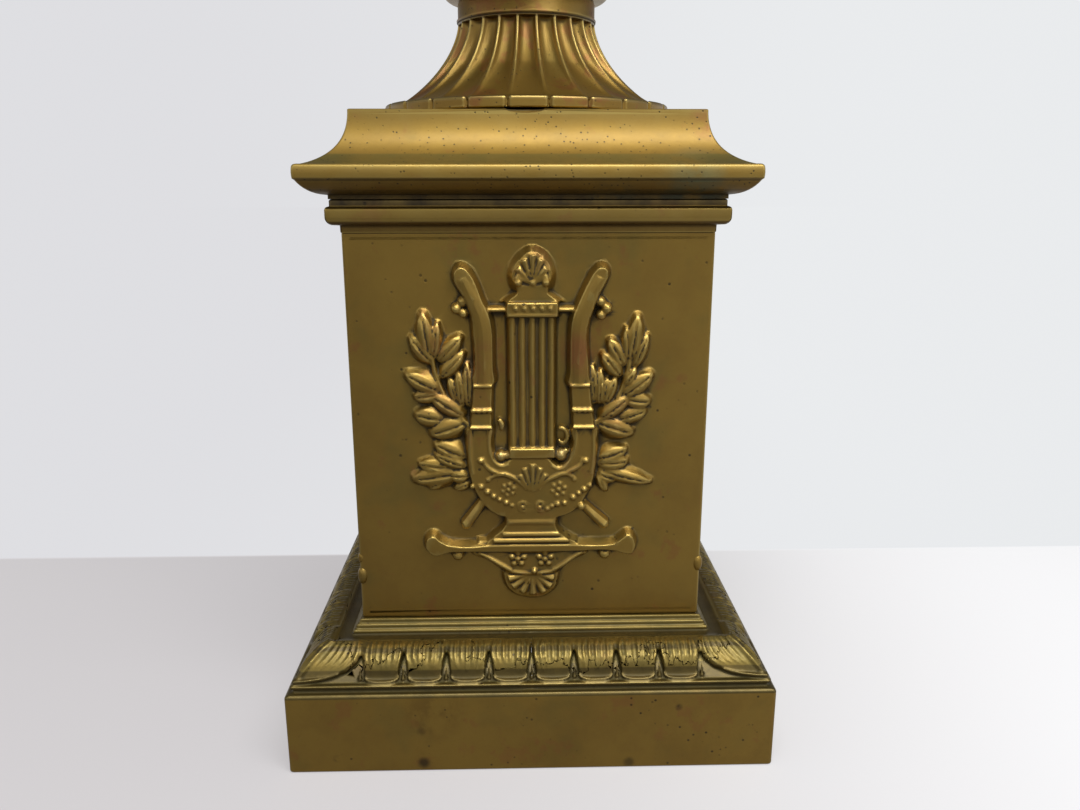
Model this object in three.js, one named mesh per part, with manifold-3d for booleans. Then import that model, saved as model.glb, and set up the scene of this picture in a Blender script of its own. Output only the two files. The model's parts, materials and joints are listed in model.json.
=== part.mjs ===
// Mantel urn in antique brass: a square plinth carved with a lyre and laurel, a round fluted
// foot and an open bell-shaped bowl. Millimetres, +Z up, the front faces -Y.
// The origin is the centre of the plinth's underside.

import * as THREE from 'three';
import { mergeVertices } from 'three/addons/utils/BufferGeometryUtils.js';
import Module from 'manifold-3d';

const wasm = await Module();
wasm.setup();

// Plinth base: a plain block, a slope of hanging leaves and three stepped beads
const blockWidth = 150;
const blockHeight = 26;
const blockEase = 1.5;
const slopeRise = 12.9;
const slopeBulge = 1.3;
const grooveWidth = 2.2;
const grooveDepth = 1.7;
const beadHeight = 1.45;
const beadStep = 1;
const leavesPerSide = 8;
const leafGap = 1.6;
const leafRise = 1.9;
const cornerLeafReach = 6;

// Plinth die: an upright with a lyre on each face and a rounded band at its head
const dieWidth = 108;
const dieHeight = 124;
const bandHeight = 6.8;
const bandProjection = 3.7;
const bandFootProjection = 1;
const bandNeckProjection = 2.7;

// Plinth cap: a narrow neck, a quarter-round, a lip and a hollow sweep up to the flat top
const capNeckHeight = 1.2;
const quarterRoundHeight = 4;
const quarterRoundBulge = 0.5;
const lipProjection = 11;
const lipHeight = 4.3;
const lipReturn = 2.4;
const lipRound = 0.9;
const filletStep = 0.5;
const sweepHeight = 15.1;
const sweepHollow = 3.4;
const capTopWidth = 102;

// Foot: flutes that end in a petalled rim below and in round heads under the collar
const fluteCount = 24;
const rimRadius = 47;
const rimHeight = 3.4;
const rimCut = 0.7;
const shoulderRise = 1.1;
const fluteHeight = 25.4;
const footCurve = 1.6;
const fluteDepth = 1.8;
const fluteTaper = 0.45;
const collarRadius = 22.4;
const collarHeight = 6.5;

// Bowl: a seat ring, a gadrooned lower body, a waist, a bell and a moulded rim
const seatRingProjection = 4.6;
const seatRingHeight = 6.2;
const neckRadius = 20;
const neckHeight = 6;
const bodyRadius = 61;
const bodyHeight = 42;
const bodyShoulder = 5;
const shoulderStep = 4;
const bodyEdge = 1.5;
const gadroonDepth = 3;
const waistRadius = 50;
const waistHeight = 12;
const bellHeight = 112;
const bellFlare = 32;
const bellCurve = 2.3;
const rimMouldHeight = 9;
const rimProjection = 7;
const rimRound = 1.5;
const bowlWall = 4;
const bowlFloor = 9;

// Relief: how far the carving stands proud of its ground and how deep its root is sunk
const reliefRise = 3.4;
const reliefRoot = 0.8;
const lyreHeight = 113;
const lyreLift = 4.8;
const lyreShift = 0.5;

const blockHalf = blockWidth / 2;
const dieHalf = dieWidth / 2;
const slopeFoot = blockHeight + blockEase;
const slopeHead = blockHeight + slopeRise;
const slopeFootHalf = blockHalf - blockEase;
const slopeHeadHalf = dieHalf + 3 * beadStep + grooveWidth;
const grooveFoot = slopeHead - grooveDepth;
const dieFoot = grooveFoot + 3 * beadHeight;
const bandFoot = dieFoot + dieHeight;
const capFoot = bandFoot + bandHeight;
const lipFoot = capFoot + capNeckHeight + quarterRoundHeight;
const sweepFoot = lipFoot + lipHeight;
const capTop = sweepFoot + sweepHeight;
const fluteFoot = capTop + rimHeight + shoulderRise;
const fluteHead = fluteFoot + fluteHeight;
const footTop = fluteHead + collarHeight;
const neckFoot = footTop + seatRingHeight;
const bodyFoot = neckFoot + neckHeight;
const bodyTop = bodyFoot + bodyHeight;
const waistTop = bodyTop + waistHeight;
const bellTop = waistTop + bellHeight;
const bowlTop = bellTop + rimMouldHeight;

const brass = { color: 0x75591f, roughness: 0.42, metalness: 0.9 };

// Points of a shallow curve from one point to another, standing off its chord by bulge,
// to the right of its travel
function curvePoints(from, to, bulge, steps) {
  const chord = new THREE.Vector2().subVectors(to, from);
  const side = new THREE.Vector2(chord.y, -chord.x).normalize();
  const points = [];
  for (let i = 0; i <= steps; i += 1) {
    const t = i / steps;
    const offset = bulge * 4 * t * (1 - t);
    points.push(new THREE.Vector2().lerpVectors(from, to, t).addScaledVector(side, offset));
  }
  return points;
}

function at(across, height) {
  return new THREE.Vector2(across, height);
}

// A moulding that runs round a square, mitred at its corners; the profile holds half widths
function squareMoulding(profile) {
  const cornerwise = profile.map((point) => at(point.x * Math.SQRT2, point.y));
  const geometry = new THREE.LatheGeometry(cornerwise, 4, Math.PI / 4);
  geometry.rotateX(Math.PI / 2);
  return closed(geometry);
}

function closed(geometry) {
  geometry.deleteAttribute('normal');
  geometry.deleteAttribute('uv');
  return mergeVertices(geometry, 1e-4);
}

function signedVolume(geometry) {
  const position = geometry.getAttribute('position');
  const index = geometry.getIndex();
  const [a, b, c] = [new THREE.Vector3(), new THREE.Vector3(), new THREE.Vector3()];
  let volume = 0;
  for (let i = 0; i < index.count; i += 3) {
    a.fromBufferAttribute(position, index.getX(i));
    b.fromBufferAttribute(position, index.getX(i + 1));
    c.fromBufferAttribute(position, index.getX(i + 2));
    volume += a.dot(b.cross(c)) / 6;
  }
  return volume;
}

function facingOut(geometry) {
  if (signedVolume(geometry) < 0) {
    geometry.setIndex(Array.from(geometry.getIndex().array).reverse());
  }
  return geometry;
}

function indexedGeometry(points, faces) {
  const geometry = new THREE.BufferGeometry().setFromPoints(points);
  geometry.setIndex(faces);
  return facingOut(geometry);
}

// A closed skin through rings of equal size, with a flat cap at each end
function loft(rings) {
  const size = rings[0].length;
  const faces = [];
  for (let i = 0; i + 1 < rings.length; i += 1) {
    for (let j = 0; j < size; j += 1) {
      const next = (j + 1) % size;
      const low = i * size;
      const high = low + size;
      faces.push(low + j, low + next, high + next, low + j, high + next, high + j);
    }
  }
  const last = (rings.length - 1) * size;
  for (let j = 1; j + 1 < size; j += 1) {
    faces.push(0, j + 1, j);
    faces.push(last, last + j, last + j + 1);
  }
  return indexedGeometry(rings.flat(), faces);
}

// A raised strip along a spine of { x, y, half }, with sloping sides and a flat crown
function strip(spine, rise, crown = 0.55) {
  const rings = spine.map((station, i) => {
    const before = spine[Math.max(i - 1, 0)];
    const after = spine[Math.min(i + 1, spine.length - 1)];
    const along = at(after.x - before.x, after.y - before.y).normalize();
    const corner = (share, z) => new THREE.Vector3(
      station.x + along.y * station.half * share,
      station.y - along.x * station.half * share,
      z,
    );
    return [corner(-1, -reliefRoot), corner(-crown, rise), corner(crown, rise), corner(1, -reliefRoot)];
  });
  return loft(rings);
}

function station(x, y, half) {
  return { x, y, half };
}

// A pointed leaf from its root, with four slopes that rise to one peak
function leaf(x, y, length, width, angle, rise) {
  const points = [
    new THREE.Vector3(0, 0, -reliefRoot),
    new THREE.Vector3(length * 0.45, -width / 2, -reliefRoot),
    new THREE.Vector3(length, 0, -reliefRoot),
    new THREE.Vector3(length * 0.45, width / 2, -reliefRoot),
    new THREE.Vector3(length * 0.6, 0, rise),
  ];
  const faces = [0, 2, 1, 0, 3, 2, 0, 1, 4, 1, 2, 4, 2, 3, 4, 3, 0, 4];
  return indexedGeometry(points, faces).rotateZ(THREE.MathUtils.degToRad(angle)).translate(x, y, 0);
}

// A flat-topped plate with an outline of its own and sides that lean in by ease
function plate(outline, rise, ease) {
  const count = outline.length;
  const foot = outline.map((point) => new THREE.Vector3(point.x, point.y, -reliefRoot));
  const crown = outline.map((point, i) => {
    const before = outline[(i + count - 1) % count];
    const after = outline[(i + 1) % count];
    const along = at(after.x - before.x, after.y - before.y).normalize();
    return new THREE.Vector3(point.x - along.y * ease, point.y + along.x * ease, rise);
  });
  const faces = [];
  for (let i = 0; i < count; i += 1) {
    const next = (i + 1) % count;
    faces.push(i, next, count + next, i, count + next, count + i);
  }
  for (const [a, b, c] of THREE.ShapeUtils.triangulateShape(outline, [])) {
    faces.push(c, b, a, count + a, count + b, count + c);
  }
  return indexedGeometry([...foot, ...crown], faces);
}

function solidOf(geometry) {
  const mesh = new wasm.Mesh({
    numProp: 3,
    vertProperties: new Float32Array(geometry.getAttribute('position').array),
    triVerts: new Uint32Array(geometry.getIndex().array),
  });
  return new wasm.Manifold(mesh);
}

function geometryOf(solid) {
  const mesh = solid.getMesh();
  const geometry = new THREE.BufferGeometry();
  geometry.setAttribute('position', new THREE.BufferAttribute(mesh.vertProperties, 3));
  geometry.setIndex(new THREE.BufferAttribute(mesh.triVerts, 1));
  return geometry;
}

function joined(body, additions) {
  return additions.reduce((whole, addition) => whole.add(solidOf(addition)), solidOf(body));
}

// Plinth base

function baseProfile() {
  const profile = [at(0, 0), at(blockHalf, 0), at(blockHalf, blockHeight)];
  profile.push(...curvePoints(at(slopeFootHalf, slopeFoot), at(slopeHeadHalf, slopeHead), slopeBulge, 2));
  for (let bead = 3; bead > 0; bead -= 1) {
    const foot = grooveFoot + (3 - bead) * beadHeight;
    profile.push(at(dieHalf + bead * beadStep, foot));
    profile.push(at(dieHalf + bead * beadStep, foot + beadHeight));
  }
  profile.push(at(0, dieFoot));
  return profile;
}

// One leaf lies on the slope with its root at the slope's head and hangs down and out
function slopeLeaf(width) {
  const length = Math.hypot(slopeFootHalf - slopeHeadHalf, slopeHead - slopeFoot);
  const sections = [[0.04, 0.8, 0.6], [0.6, 1.15, 1], [0.98, 0.75, 0.8]];
  const rings = sections.map(([along, spread, lift]) => {
    const half = (width / 2) * spread;
    const belly = slopeBulge * 4 * along * (1 - along);
    return [
      new THREE.Vector3(-half, along * length, belly - reliefRoot),
      new THREE.Vector3(0, along * length, belly + leafRise * lift),
      new THREE.Vector3(half, along * length, belly - reliefRoot),
    ];
  });
  return loft(rings);
}

function slopeLeaves() {
  const run = slopeFootHalf - slopeHeadHalf;
  const fall = slopeHead - slopeFoot;
  const pitch = (2 * slopeHeadHalf - leafGap) / (leavesPerSide + 1);
  const width = pitch - leafGap;
  const leaves = [];
  for (let side = 0; side < 4; side += 1) {
    const turn = (side * Math.PI) / 2;
    for (let i = 0; i < leavesPerSide; i += 1) {
      const across = (i - (leavesPerSide - 1) / 2) * pitch;
      leaves.push(onSlope(slopeLeaf(width), new THREE.Vector3(0, -run, -fall), across).rotateZ(turn));
    }
    const cornerwise = new THREE.Vector3(run, -run, -fall);
    leaves.push(cornerLeaf(cornerwise).rotateZ(turn));
  }
  return leaves;
}

// Lays a leaf's length along a direction down the slope and lifts it out of the slope's face
function onSlope(geometry, downward, across) {
  const along = downward.clone().normalize();
  const sideways = new THREE.Vector3(-1, 0, 0);
  const outward = new THREE.Vector3().crossVectors(sideways, along);
  const place = new THREE.Matrix4().makeBasis(sideways, along, outward);
  place.setPosition(across, -slopeHeadHalf, slopeHead);
  return geometry.applyMatrix4(place);
}

// The corner leaf folds over the mitre, from the slope's head down to the block.
// Each section has a lobe to either side of the mitre, a ridge on it and a root below it
function cornerLeaf(downward) {
  const rings = [0, 0.35, 0.75, 1].map((along) => {
    const ridge = new THREE.Vector3(slopeHeadHalf, -slopeHeadHalf, slopeHead);
    ridge.addScaledVector(downward, along);
    const belly = slopeBulge * 4 * along * (1 - along);
    const reach = cornerLeafReach * (0.75 + 0.55 * Math.sin(Math.PI * along));
    const edge = (belly - reliefRoot) * Math.SQRT1_2;
    const crown = (belly + leafRise) * Math.sqrt(1 / 3);
    return [
      new THREE.Vector3(-reach, -edge, edge).add(ridge),
      new THREE.Vector3(crown, -crown, crown).add(ridge),
      new THREE.Vector3(edge, reach, edge).add(ridge),
      new THREE.Vector3(-reach, reach, -leafRise).add(ridge),
    ];
  });
  return loft(rings);
}

function plinthBase() {
  return geometryOf(joined(squareMoulding(baseProfile()), slopeLeaves()));
}

// Relief on the die, drawn at lyreDrawn high with its foot at y = 0 and its middle at x = 0

const lyreDrawn = 113;

function mirrored(points) {
  return points.map((point) => station(-point.x, point.y, point.half)).reverse();
}

function bothSides(spine, rise, crown) {
  return [strip(spine, rise, crown), strip(mirrored(spine), rise, crown)];
}

function lyreArms() {
  const arm = [
    station(-20.6, 109.2, 1),
    station(-20.2, 106.6, 2.5),
    station(-15, 95, 2.6),
    station(-14.6, 73.2, 2.6),
    station(-14.8, 71.8, 3.4),
    station(-15.2, 65.2, 3),
    station(-15.4, 63.8, 4),
    station(-15.6, 58, 3.5),
  ];
  const knobs = [0, 180].map((angle) => {
    const side = angle ? -1 : 1;
    return leaf(16.5 * side, 95, 8, 8, angle, reliefRise * 0.7);
  });
  return [...bothSides(arm, reliefRise), ...knobs];
}

function lyreBody() {
  const outer = [at(19.6, 58.5), at(19.6, 46), at(18.4, 39.5), at(15.8, 34), at(11.5, 30.2), at(6, 28.7)];
  const inner = [at(0, 49), at(6.5, 48.4), at(9.5, 46.6), at(11.8, 50.5), at(12.3, 58.5)];
  const right = [at(0, 29.8), ...outer.reverse(), ...inner.slice(1).reverse()];
  const left = inner.slice(1).concat(outer.reverse()).map((point) => at(-point.x, point.y));
  return plate([...right, inner[0], ...left], reliefRise * 0.85, 1.2);
}

function lyreStrings() {
  const pitch = 2.75;
  const parts = [];
  for (let i = -2; i <= 2; i += 1) {
    parts.push(strip([station(i * pitch, 51, 1.3), station(i * pitch, 93.5, 1.3)], reliefRise * 0.75, 0.35));
  }
  parts.push(strip([station(-7.4, 51.2, 1.9), station(7.4, 51.2, 1.9)], reliefRise));
  parts.push(strip([station(-7.8, 95, 2.5), station(7.8, 95, 2.5)], reliefRise));
  parts.push(strip([station(-14.5, 96, 1.9), station(14.5, 96, 1.9)], reliefRise * 0.5));
  return parts;
}

function lyreFinial() {
  const egg = [
    station(0, 97, 5.2),
    station(0, 99.5, 4.8),
    station(0, 104, 6.7),
    station(0, 108.5, 5.2),
    station(0, 112.8, 1.6),
  ];
  return strip(egg, reliefRise, 0.7);
}

function lyreFoot() {
  const pedestal = [
    station(0, 30.5, 7.8),
    station(0, 25.5, 7.6),
    station(0, 19, 15.4),
  ];
  const bar = [
    station(-33, 20.4, 2.4),
    station(-30.6, 20.6, 4),
    station(-25.5, 20, 2.6),
    station(25.5, 20, 2.6),
    station(30.6, 20.6, 4),
    station(33, 20.4, 2.4),
  ];
  const stick = [station(-14.5, 34.5, 1.9), station(-21, 25.4, 1.9)];
  const pendant = [station(0, 18.5, 17.5), station(0, 12.4, 9.8), station(0, 9, 8.2)];
  return [
    strip(pedestal, reliefRise * 0.8, 0.85),
    strip(bar, reliefRise),
    ...bothSides(stick, reliefRise * 0.7),
    strip(pendant, reliefRise * 0.55, 0.85),
  ];
}

// The shell is a fan of lobes that hangs from the pendant
function lyreShell() {
  const lobes = 5;
  const parts = [];
  for (let i = 0; i < lobes; i += 1) {
    const angle = 180 + 22 + (i * 136) / (lobes - 1);
    parts.push(leaf(0, 9.4, 9.6, 6.4, angle, reliefRise * 0.8));
  }
  return parts;
}

// A laurel spray bends up and out from the sleeve, with a leaf to each side at every station,
// and a fan of leaves spreads from the body below it
function laurel() {
  const root = at(-19.5, 60);
  const bend = at(-29, 66);
  const tip = at(-30.2, 84.5);
  const stem = new THREE.QuadraticBezierCurve(root, bend, tip);
  const parts = [];
  for (let i = 0; i <= 4; i += 1) {
    const share = i / 4;
    const point = stem.getPoint(share);
    parts.push(leaf(point.x, point.y, 11, 6.4, 190 - 94 * share ** 1.6, reliefRise));
    parts.push(leaf(point.x, point.y, 12, 6.4, 100 - 52 * share, reliefRise * 0.9));
  }
  for (let i = 0; i <= 3; i += 1) {
    const reach = 10.5 + 6.5 * Math.sin((Math.PI * i) / 3);
    parts.push(leaf(-18.5, 45, reach, 7, 130 + 31 * i, reliefRise * 0.9));
  }
  return parts;
}

function mirrorAcross(geometry) {
  const copy = geometry.clone().scale(-1, 1, 1);
  return facingOut(copy);
}

function relief() {
  const leaves = laurel();
  const parts = [
    lyreBody(),
    ...lyreArms(),
    ...lyreStrings(),
    lyreFinial(),
    ...lyreFoot(),
    ...lyreShell(),
    ...leaves,
    ...leaves.map(mirrorAcross),
  ];
  const grow = lyreHeight / lyreDrawn;
  return parts.map((part) => part.scale(grow, grow, 1));
}

// Plinth die

function dieProfile() {
  const bandEdge = at(dieHalf + bandFootProjection, bandFoot);
  const bandHead = at(dieHalf + bandNeckProjection, capFoot);
  const swell = bandProjection - (bandFootProjection + bandNeckProjection) / 2;
  const band = curvePoints(bandEdge, bandHead, swell, 4);
  return [at(0, dieFoot), at(dieHalf, dieFoot), at(dieHalf, bandFoot), ...band, at(0, capFoot)];
}

function plinthDie() {
  const face = new THREE.Matrix4().makeBasis(
    new THREE.Vector3(1, 0, 0),
    new THREE.Vector3(0, 0, 1),
    new THREE.Vector3(0, -1, 0),
  );
  face.setPosition(lyreShift, -dieHalf, dieFoot + lyreLift);
  const carving = relief().map((part) => part.applyMatrix4(face));
  const turned = [0, 1, 2, 3].flatMap((side) => (
    carving.map((part) => part.clone().rotateZ((side * Math.PI) / 2))
  ));
  return geometryOf(joined(squareMoulding(dieProfile()), turned));
}

// Plinth cap

function plinthCap() {
  const neckHalf = dieHalf + bandNeckProjection;
  const lipHalf = dieHalf + lipProjection;
  const roundFoot = at(neckHalf + filletStep, capFoot + capNeckHeight);
  const roundHead = at(lipHalf - 2 * filletStep, lipFoot);
  const lipEdge = at(lipHalf - filletStep, lipFoot + filletStep);
  const lipHead = at(lipHalf - lipReturn, sweepFoot);
  const profile = [
    at(0, capFoot),
    at(neckHalf, capFoot),
    ...curvePoints(roundFoot, roundHead, quarterRoundBulge, 3),
    ...curvePoints(lipEdge, lipHead, lipRound, 3),
    ...curvePoints(lipHead, at(capTopWidth / 2, capTop), -sweepHollow, 6).slice(1),
    at(0, capTop),
  ];
  return squareMoulding(profile);
}

// Round work: rows of { radius, height, columns, cut }, from the axis below to the axis above.
// cut is how deep each flute bites at its middle, or each gadroon at its edges when negative

const columnsPerFlute = 3;
const fineColumns = fluteCount * columnsPerFlute;
const plainColumns = fineColumns / 2;

function fine(radius, height, cut = 0) {
  return { radius, height, columns: fineColumns, cut };
}

function plain(radius, height) {
  return { radius, height, columns: plainColumns, cut: 0 };
}

function bite(cut, column) {
  const fromMiddle = Math.abs((2 * (column % columnsPerFlute)) / columnsPerFlute - 1);
  return cut > 0 ? cut * (1 - fromMiddle ** 2) : -cut * fromMiddle ** 2;
}

function turnedPoints(row) {
  const startAngle = -Math.PI / fluteCount;
  const points = [];
  for (let j = 0; j < row.columns; j += 1) {
    const angle = startAngle + (j * 2 * Math.PI) / row.columns;
    const radius = row.radius - bite(row.cut, j);
    points.push(new THREE.Vector3(Math.cos(angle) * radius, Math.sin(angle) * radius, row.height));
  }
  return points;
}

function turned(lowPole, rows, highPole) {
  const points = [new THREE.Vector3(0, 0, lowPole), new THREE.Vector3(0, 0, highPole)];
  const starts = rows.map((row) => {
    const start = points.length;
    points.push(...turnedPoints(row));
    return start;
  });
  const faces = [];
  const around = (row, j) => starts[row] + (j % rows[row].columns);
  for (let j = 0; j < rows[0].columns; j += 1) {
    faces.push(0, around(0, j + 1), around(0, j));
  }
  for (let i = 0; i + 1 < rows.length; i += 1) {
    joinRows(faces, rows, around, i);
  }
  const last = rows.length - 1;
  for (let j = 0; j < rows[last].columns; j += 1) {
    faces.push(1, around(last, j), around(last, j + 1));
  }
  return indexedGeometry(points, faces);
}

function joinRows(faces, rows, around, low) {
  const high = low + 1;
  const steps = Math.min(rows[low].columns, rows[high].columns);
  const lowStride = rows[low].columns / steps;
  const highStride = rows[high].columns / steps;
  for (let j = 0; j < steps; j += 1) {
    const [a, b] = [around(low, j * lowStride), around(low, (j + 1) * lowStride)];
    const [c, d] = [around(high, j * highStride), around(high, (j + 1) * highStride)];
    if (lowStride > highStride) {
      const middle = around(low, j * lowStride + 1);
      faces.push(a, middle, c, middle, d, c, middle, b, d);
    } else if (highStride > lowStride) {
      const middle = around(high, j * highStride + 1);
      faces.push(a, middle, c, a, b, middle, b, d, middle);
    } else {
      faces.push(a, b, d, a, d, c);
    }
  }
}

// Foot

function fluteRadius(share) {
  const drop = (1 - (1 - share) ** footCurve) ** (1 / footCurve);
  return rimRadius - (rimRadius - collarRadius) * drop;
}

function urnFoot() {
  const rows = [
    plain(rimRadius - rimCut, capTop),
    fine(rimRadius, capTop + rimCut, rimCut),
    fine(rimRadius, capTop + rimHeight, rimCut),
    fine(rimRadius - shoulderRise, fluteFoot, rimCut),
  ];
  for (const share of [0.08, 0.28, 0.6, 0.93]) {
    const cut = fluteDepth * (1 - fluteTaper * share);
    rows.push(fine(fluteRadius(share), fluteFoot + fluteHeight * share, cut));
  }
  rows.push(fine(collarRadius, fluteHead));
  rows.push(plain(collarRadius, fluteHead + rimCut));
  rows.push(plain(collarRadius, footTop));
  return turned(capTop, rows, footTop);
}

// Bowl

function bellRadius(share) {
  return waistRadius + bellFlare * share ** bellCurve;
}

function bowlOutside() {
  const seatRadius = collarRadius + seatRingProjection;
  const bodyFootRadius = neckRadius + bodyEdge;
  const rows = [plain(collarRadius, footTop)];
  for (const share of [0.25, 0.75]) {
    rows.push(plain(seatRadius, footTop + seatRingHeight * share));
  }
  rows.push(plain(neckRadius, neckFoot));
  rows.push(plain(neckRadius, neckFoot + neckHeight / 2));
  for (let i = 0; i <= 4; i += 1) {
    const angle = ((i / 4) * Math.PI) / 2;
    const radius = bodyFootRadius + (bodyRadius - bodyFootRadius) * Math.sin(angle);
    const height = bodyFoot + (bodyHeight - bodyShoulder) * (1 - Math.cos(angle));
    rows.push(fine(radius, height, -gadroonDepth * Math.sin((Math.PI * (i + 1)) / 6)));
  }
  rows.push(plain(bodyRadius - bodyEdge, bodyTop - bodyEdge));
  rows.push(plain(bodyRadius - shoulderStep, bodyTop));
  rows.push(plain(waistRadius + bodyEdge, bodyTop + bodyEdge));
  for (const share of [0, 0.4, 0.75, 1]) {
    rows.push(plain(bellRadius(share), waistTop + bellHeight * share));
  }
  const rimOut = bellRadius(1) + rimProjection;
  rows.push(plain(rimOut - 2 * rimRound, bellTop + rimRound));
  rows.push(plain(rimOut, bellTop + rimMouldHeight / 2));
  rows.push(plain(rimOut, bowlTop - rimRound));
  rows.push(plain(rimOut - rimRound, bowlTop));
  return rows;
}

function bowlInside() {
  const rows = [plain(bellRadius(1) - bowlWall + rimRound, bowlTop)];
  for (const share of [1, 0.75, 0.45, 0]) {
    rows.push(plain(bellRadius(share) - bowlWall, waistTop + bellHeight * share));
  }
  const innerRadius = bodyRadius - gadroonDepth - bowlWall;
  const innerDepth = bodyHeight - bowlFloor;
  for (const degrees of [85, 55, 25]) {
    const angle = THREE.MathUtils.degToRad(degrees);
    rows.push(plain(innerRadius * Math.sin(angle), bodyTop - innerDepth * Math.cos(angle)));
  }
  return { rows, bottom: bodyTop - innerDepth };
}

function urnBowl() {
  const inside = bowlInside();
  return turned(footTop, [...bowlOutside(), ...inside.rows], inside.bottom);
}

// The whole object

function piece(name, geometry) {
  const mesh = new THREE.Mesh(geometry, new THREE.MeshStandardMaterial(brass));
  mesh.name = name;
  return mesh;
}

const mantelUrn = new THREE.Group();
const plinth = new THREE.Group();
const urn = new THREE.Group();
plinth.add(piece('plinth_base', plinthBase()));
plinth.add(piece('plinth_die', plinthDie()));
plinth.add(piece('plinth_cap', plinthCap()));
urn.add(piece('urn_foot', urnFoot()));
urn.add(piece('urn_bowl', urnBowl()));
mantelUrn.add(plinth, urn);

export default mantelUrn;
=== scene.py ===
import json
import math

import bpy
import numpy as np
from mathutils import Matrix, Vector
from mathutils.kdtree import KDTree

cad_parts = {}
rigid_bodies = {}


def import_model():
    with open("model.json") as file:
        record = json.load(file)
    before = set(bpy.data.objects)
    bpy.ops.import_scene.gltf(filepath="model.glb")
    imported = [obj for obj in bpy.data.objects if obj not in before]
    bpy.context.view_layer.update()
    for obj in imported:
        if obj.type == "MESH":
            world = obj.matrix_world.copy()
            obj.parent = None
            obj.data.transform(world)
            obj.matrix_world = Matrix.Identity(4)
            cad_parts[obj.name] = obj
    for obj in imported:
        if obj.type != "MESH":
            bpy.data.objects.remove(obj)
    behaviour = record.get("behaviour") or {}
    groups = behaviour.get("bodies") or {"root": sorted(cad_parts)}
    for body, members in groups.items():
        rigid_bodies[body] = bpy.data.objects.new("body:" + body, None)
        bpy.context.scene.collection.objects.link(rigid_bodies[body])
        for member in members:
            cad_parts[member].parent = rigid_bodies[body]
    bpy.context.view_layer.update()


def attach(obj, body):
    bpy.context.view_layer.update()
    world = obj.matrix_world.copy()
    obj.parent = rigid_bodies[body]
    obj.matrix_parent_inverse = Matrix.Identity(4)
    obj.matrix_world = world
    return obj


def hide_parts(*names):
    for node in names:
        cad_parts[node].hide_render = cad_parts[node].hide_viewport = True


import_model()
mm = 0.001


# Small tools for working by hand

def deselectAll():
    if bpy.context.object and bpy.context.object.mode != "OBJECT":
        bpy.ops.object.mode_set(mode="OBJECT")
    bpy.ops.object.select_all(action="DESELECT")


def makeActive(piece):
    deselectAll()
    piece.select_set(True)
    bpy.context.view_layer.objects.active = piece


def choose(piece, test, kind="VERT"):
    # goes into edit mode with only the vertices or faces that pass the test selected
    makeActive(piece)
    bpy.ops.object.mode_set(mode="EDIT")
    bpy.ops.mesh.select_mode(type=kind)
    bpy.ops.mesh.select_all(action="DESELECT")
    bpy.ops.object.mode_set(mode="OBJECT")
    if kind == "FACE":
        for face in piece.data.polygons:
            face.select = test(face.center / mm, face.normal)
    else:
        for vertex in piece.data.vertices:
            vertex.select = test(vertex.co / mm)
    bpy.ops.object.mode_set(mode="EDIT")


def applyPlace(piece):
    makeActive(piece)
    bpy.ops.object.transform_apply(location=True, rotation=True, scale=True)


def addModifier(piece, kind, **settings):
    makeActive(piece)
    modifier = piece.modifiers.new(kind.title(), kind)
    for name, value in settings.items():
        setattr(modifier, name, value)
    bpy.ops.object.modifier_apply(modifier=modifier.name)


def joinPieces(pieces, name):
    makeActive(pieces[0])
    for piece in pieces[1:]:
        piece.select_set(True)
    bpy.ops.object.join()
    joined = bpy.context.object
    joined.name = name
    joined.data.name = name
    return joined


def copyOf(piece):
    twin = piece.copy()
    twin.data = piece.data.copy()
    bpy.context.scene.collection.objects.link(twin)
    return twin


def weld(piece, gap=0.01):
    makeActive(piece)
    bpy.ops.object.mode_set(mode="EDIT")
    bpy.ops.mesh.select_all(action="SELECT")
    bpy.ops.mesh.remove_doubles(threshold=gap * mm)
    bpy.ops.mesh.normals_make_consistent(inside=False)
    bpy.ops.object.mode_set(mode="OBJECT")


def quarterTurns(piece):
    # the same work on all four sides of the plinth
    sides = [piece]
    for turn in (1, 2, 3):
        side = copyOf(piece)
        side.rotation_euler.z = turn * math.pi / 2
        applyPlace(side)
        sides.append(side)
    return sides


def squareStack(name, profile, corner):
    # a square moulding: a plane with rounded corners, then one extrusion for each step of the profile
    half, height = profile[0]
    bpy.ops.mesh.primitive_plane_add(size=2 * half * mm, location=(0, 0, height * mm))
    piece = bpy.context.object
    piece.name = name
    applyPlace(piece)
    bpy.ops.object.mode_set(mode="EDIT")
    bpy.ops.mesh.bevel(offset=corner * mm, segments=4, affect="VERTICES")
    for nextHalf, nextHeight in profile[1:]:
        bpy.ops.mesh.extrude_region_move(TRANSFORM_OT_translate={"value": (0, 0, (nextHeight - height) * mm)})
        bpy.ops.transform.resize(value=(nextHalf / half, nextHalf / half, 1), center_override=(0, 0, 0))
        half, height = nextHalf, nextHeight
    bpy.ops.mesh.select_all(action="SELECT")
    bpy.ops.mesh.normals_make_consistent(inside=False)
    bpy.ops.object.mode_set(mode="OBJECT")
    return piece


def spun(name, profile, steps, mirrored=True):
    # a round moulding: the profile is drawn point by point with extrusions, then spun
    radius, height = profile[0]
    bpy.ops.mesh.primitive_plane_add(size=mm, location=(radius * mm, 0, height * mm))
    piece = bpy.context.object
    piece.name = name
    applyPlace(piece)
    bpy.ops.object.mode_set(mode="EDIT")
    bpy.ops.mesh.select_mode(type="VERT")
    bpy.ops.mesh.merge(type="CENTER")
    for nextRadius, nextHeight in profile[1:]:
        step = ((nextRadius - radius) * mm, 0, (nextHeight - height) * mm)
        bpy.ops.mesh.extrude_region_move(TRANSFORM_OT_translate={"value": step})
        radius, height = nextRadius, nextHeight
    bpy.ops.mesh.select_all(action="SELECT")
    bpy.ops.mesh.spin(steps=steps, angle=2 * math.pi, center=(0, 0, 0), axis=(0, 0, 1), use_auto_merge=False)
    bpy.ops.object.mode_set(mode="OBJECT")
    weld(piece)
    return piece


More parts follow.
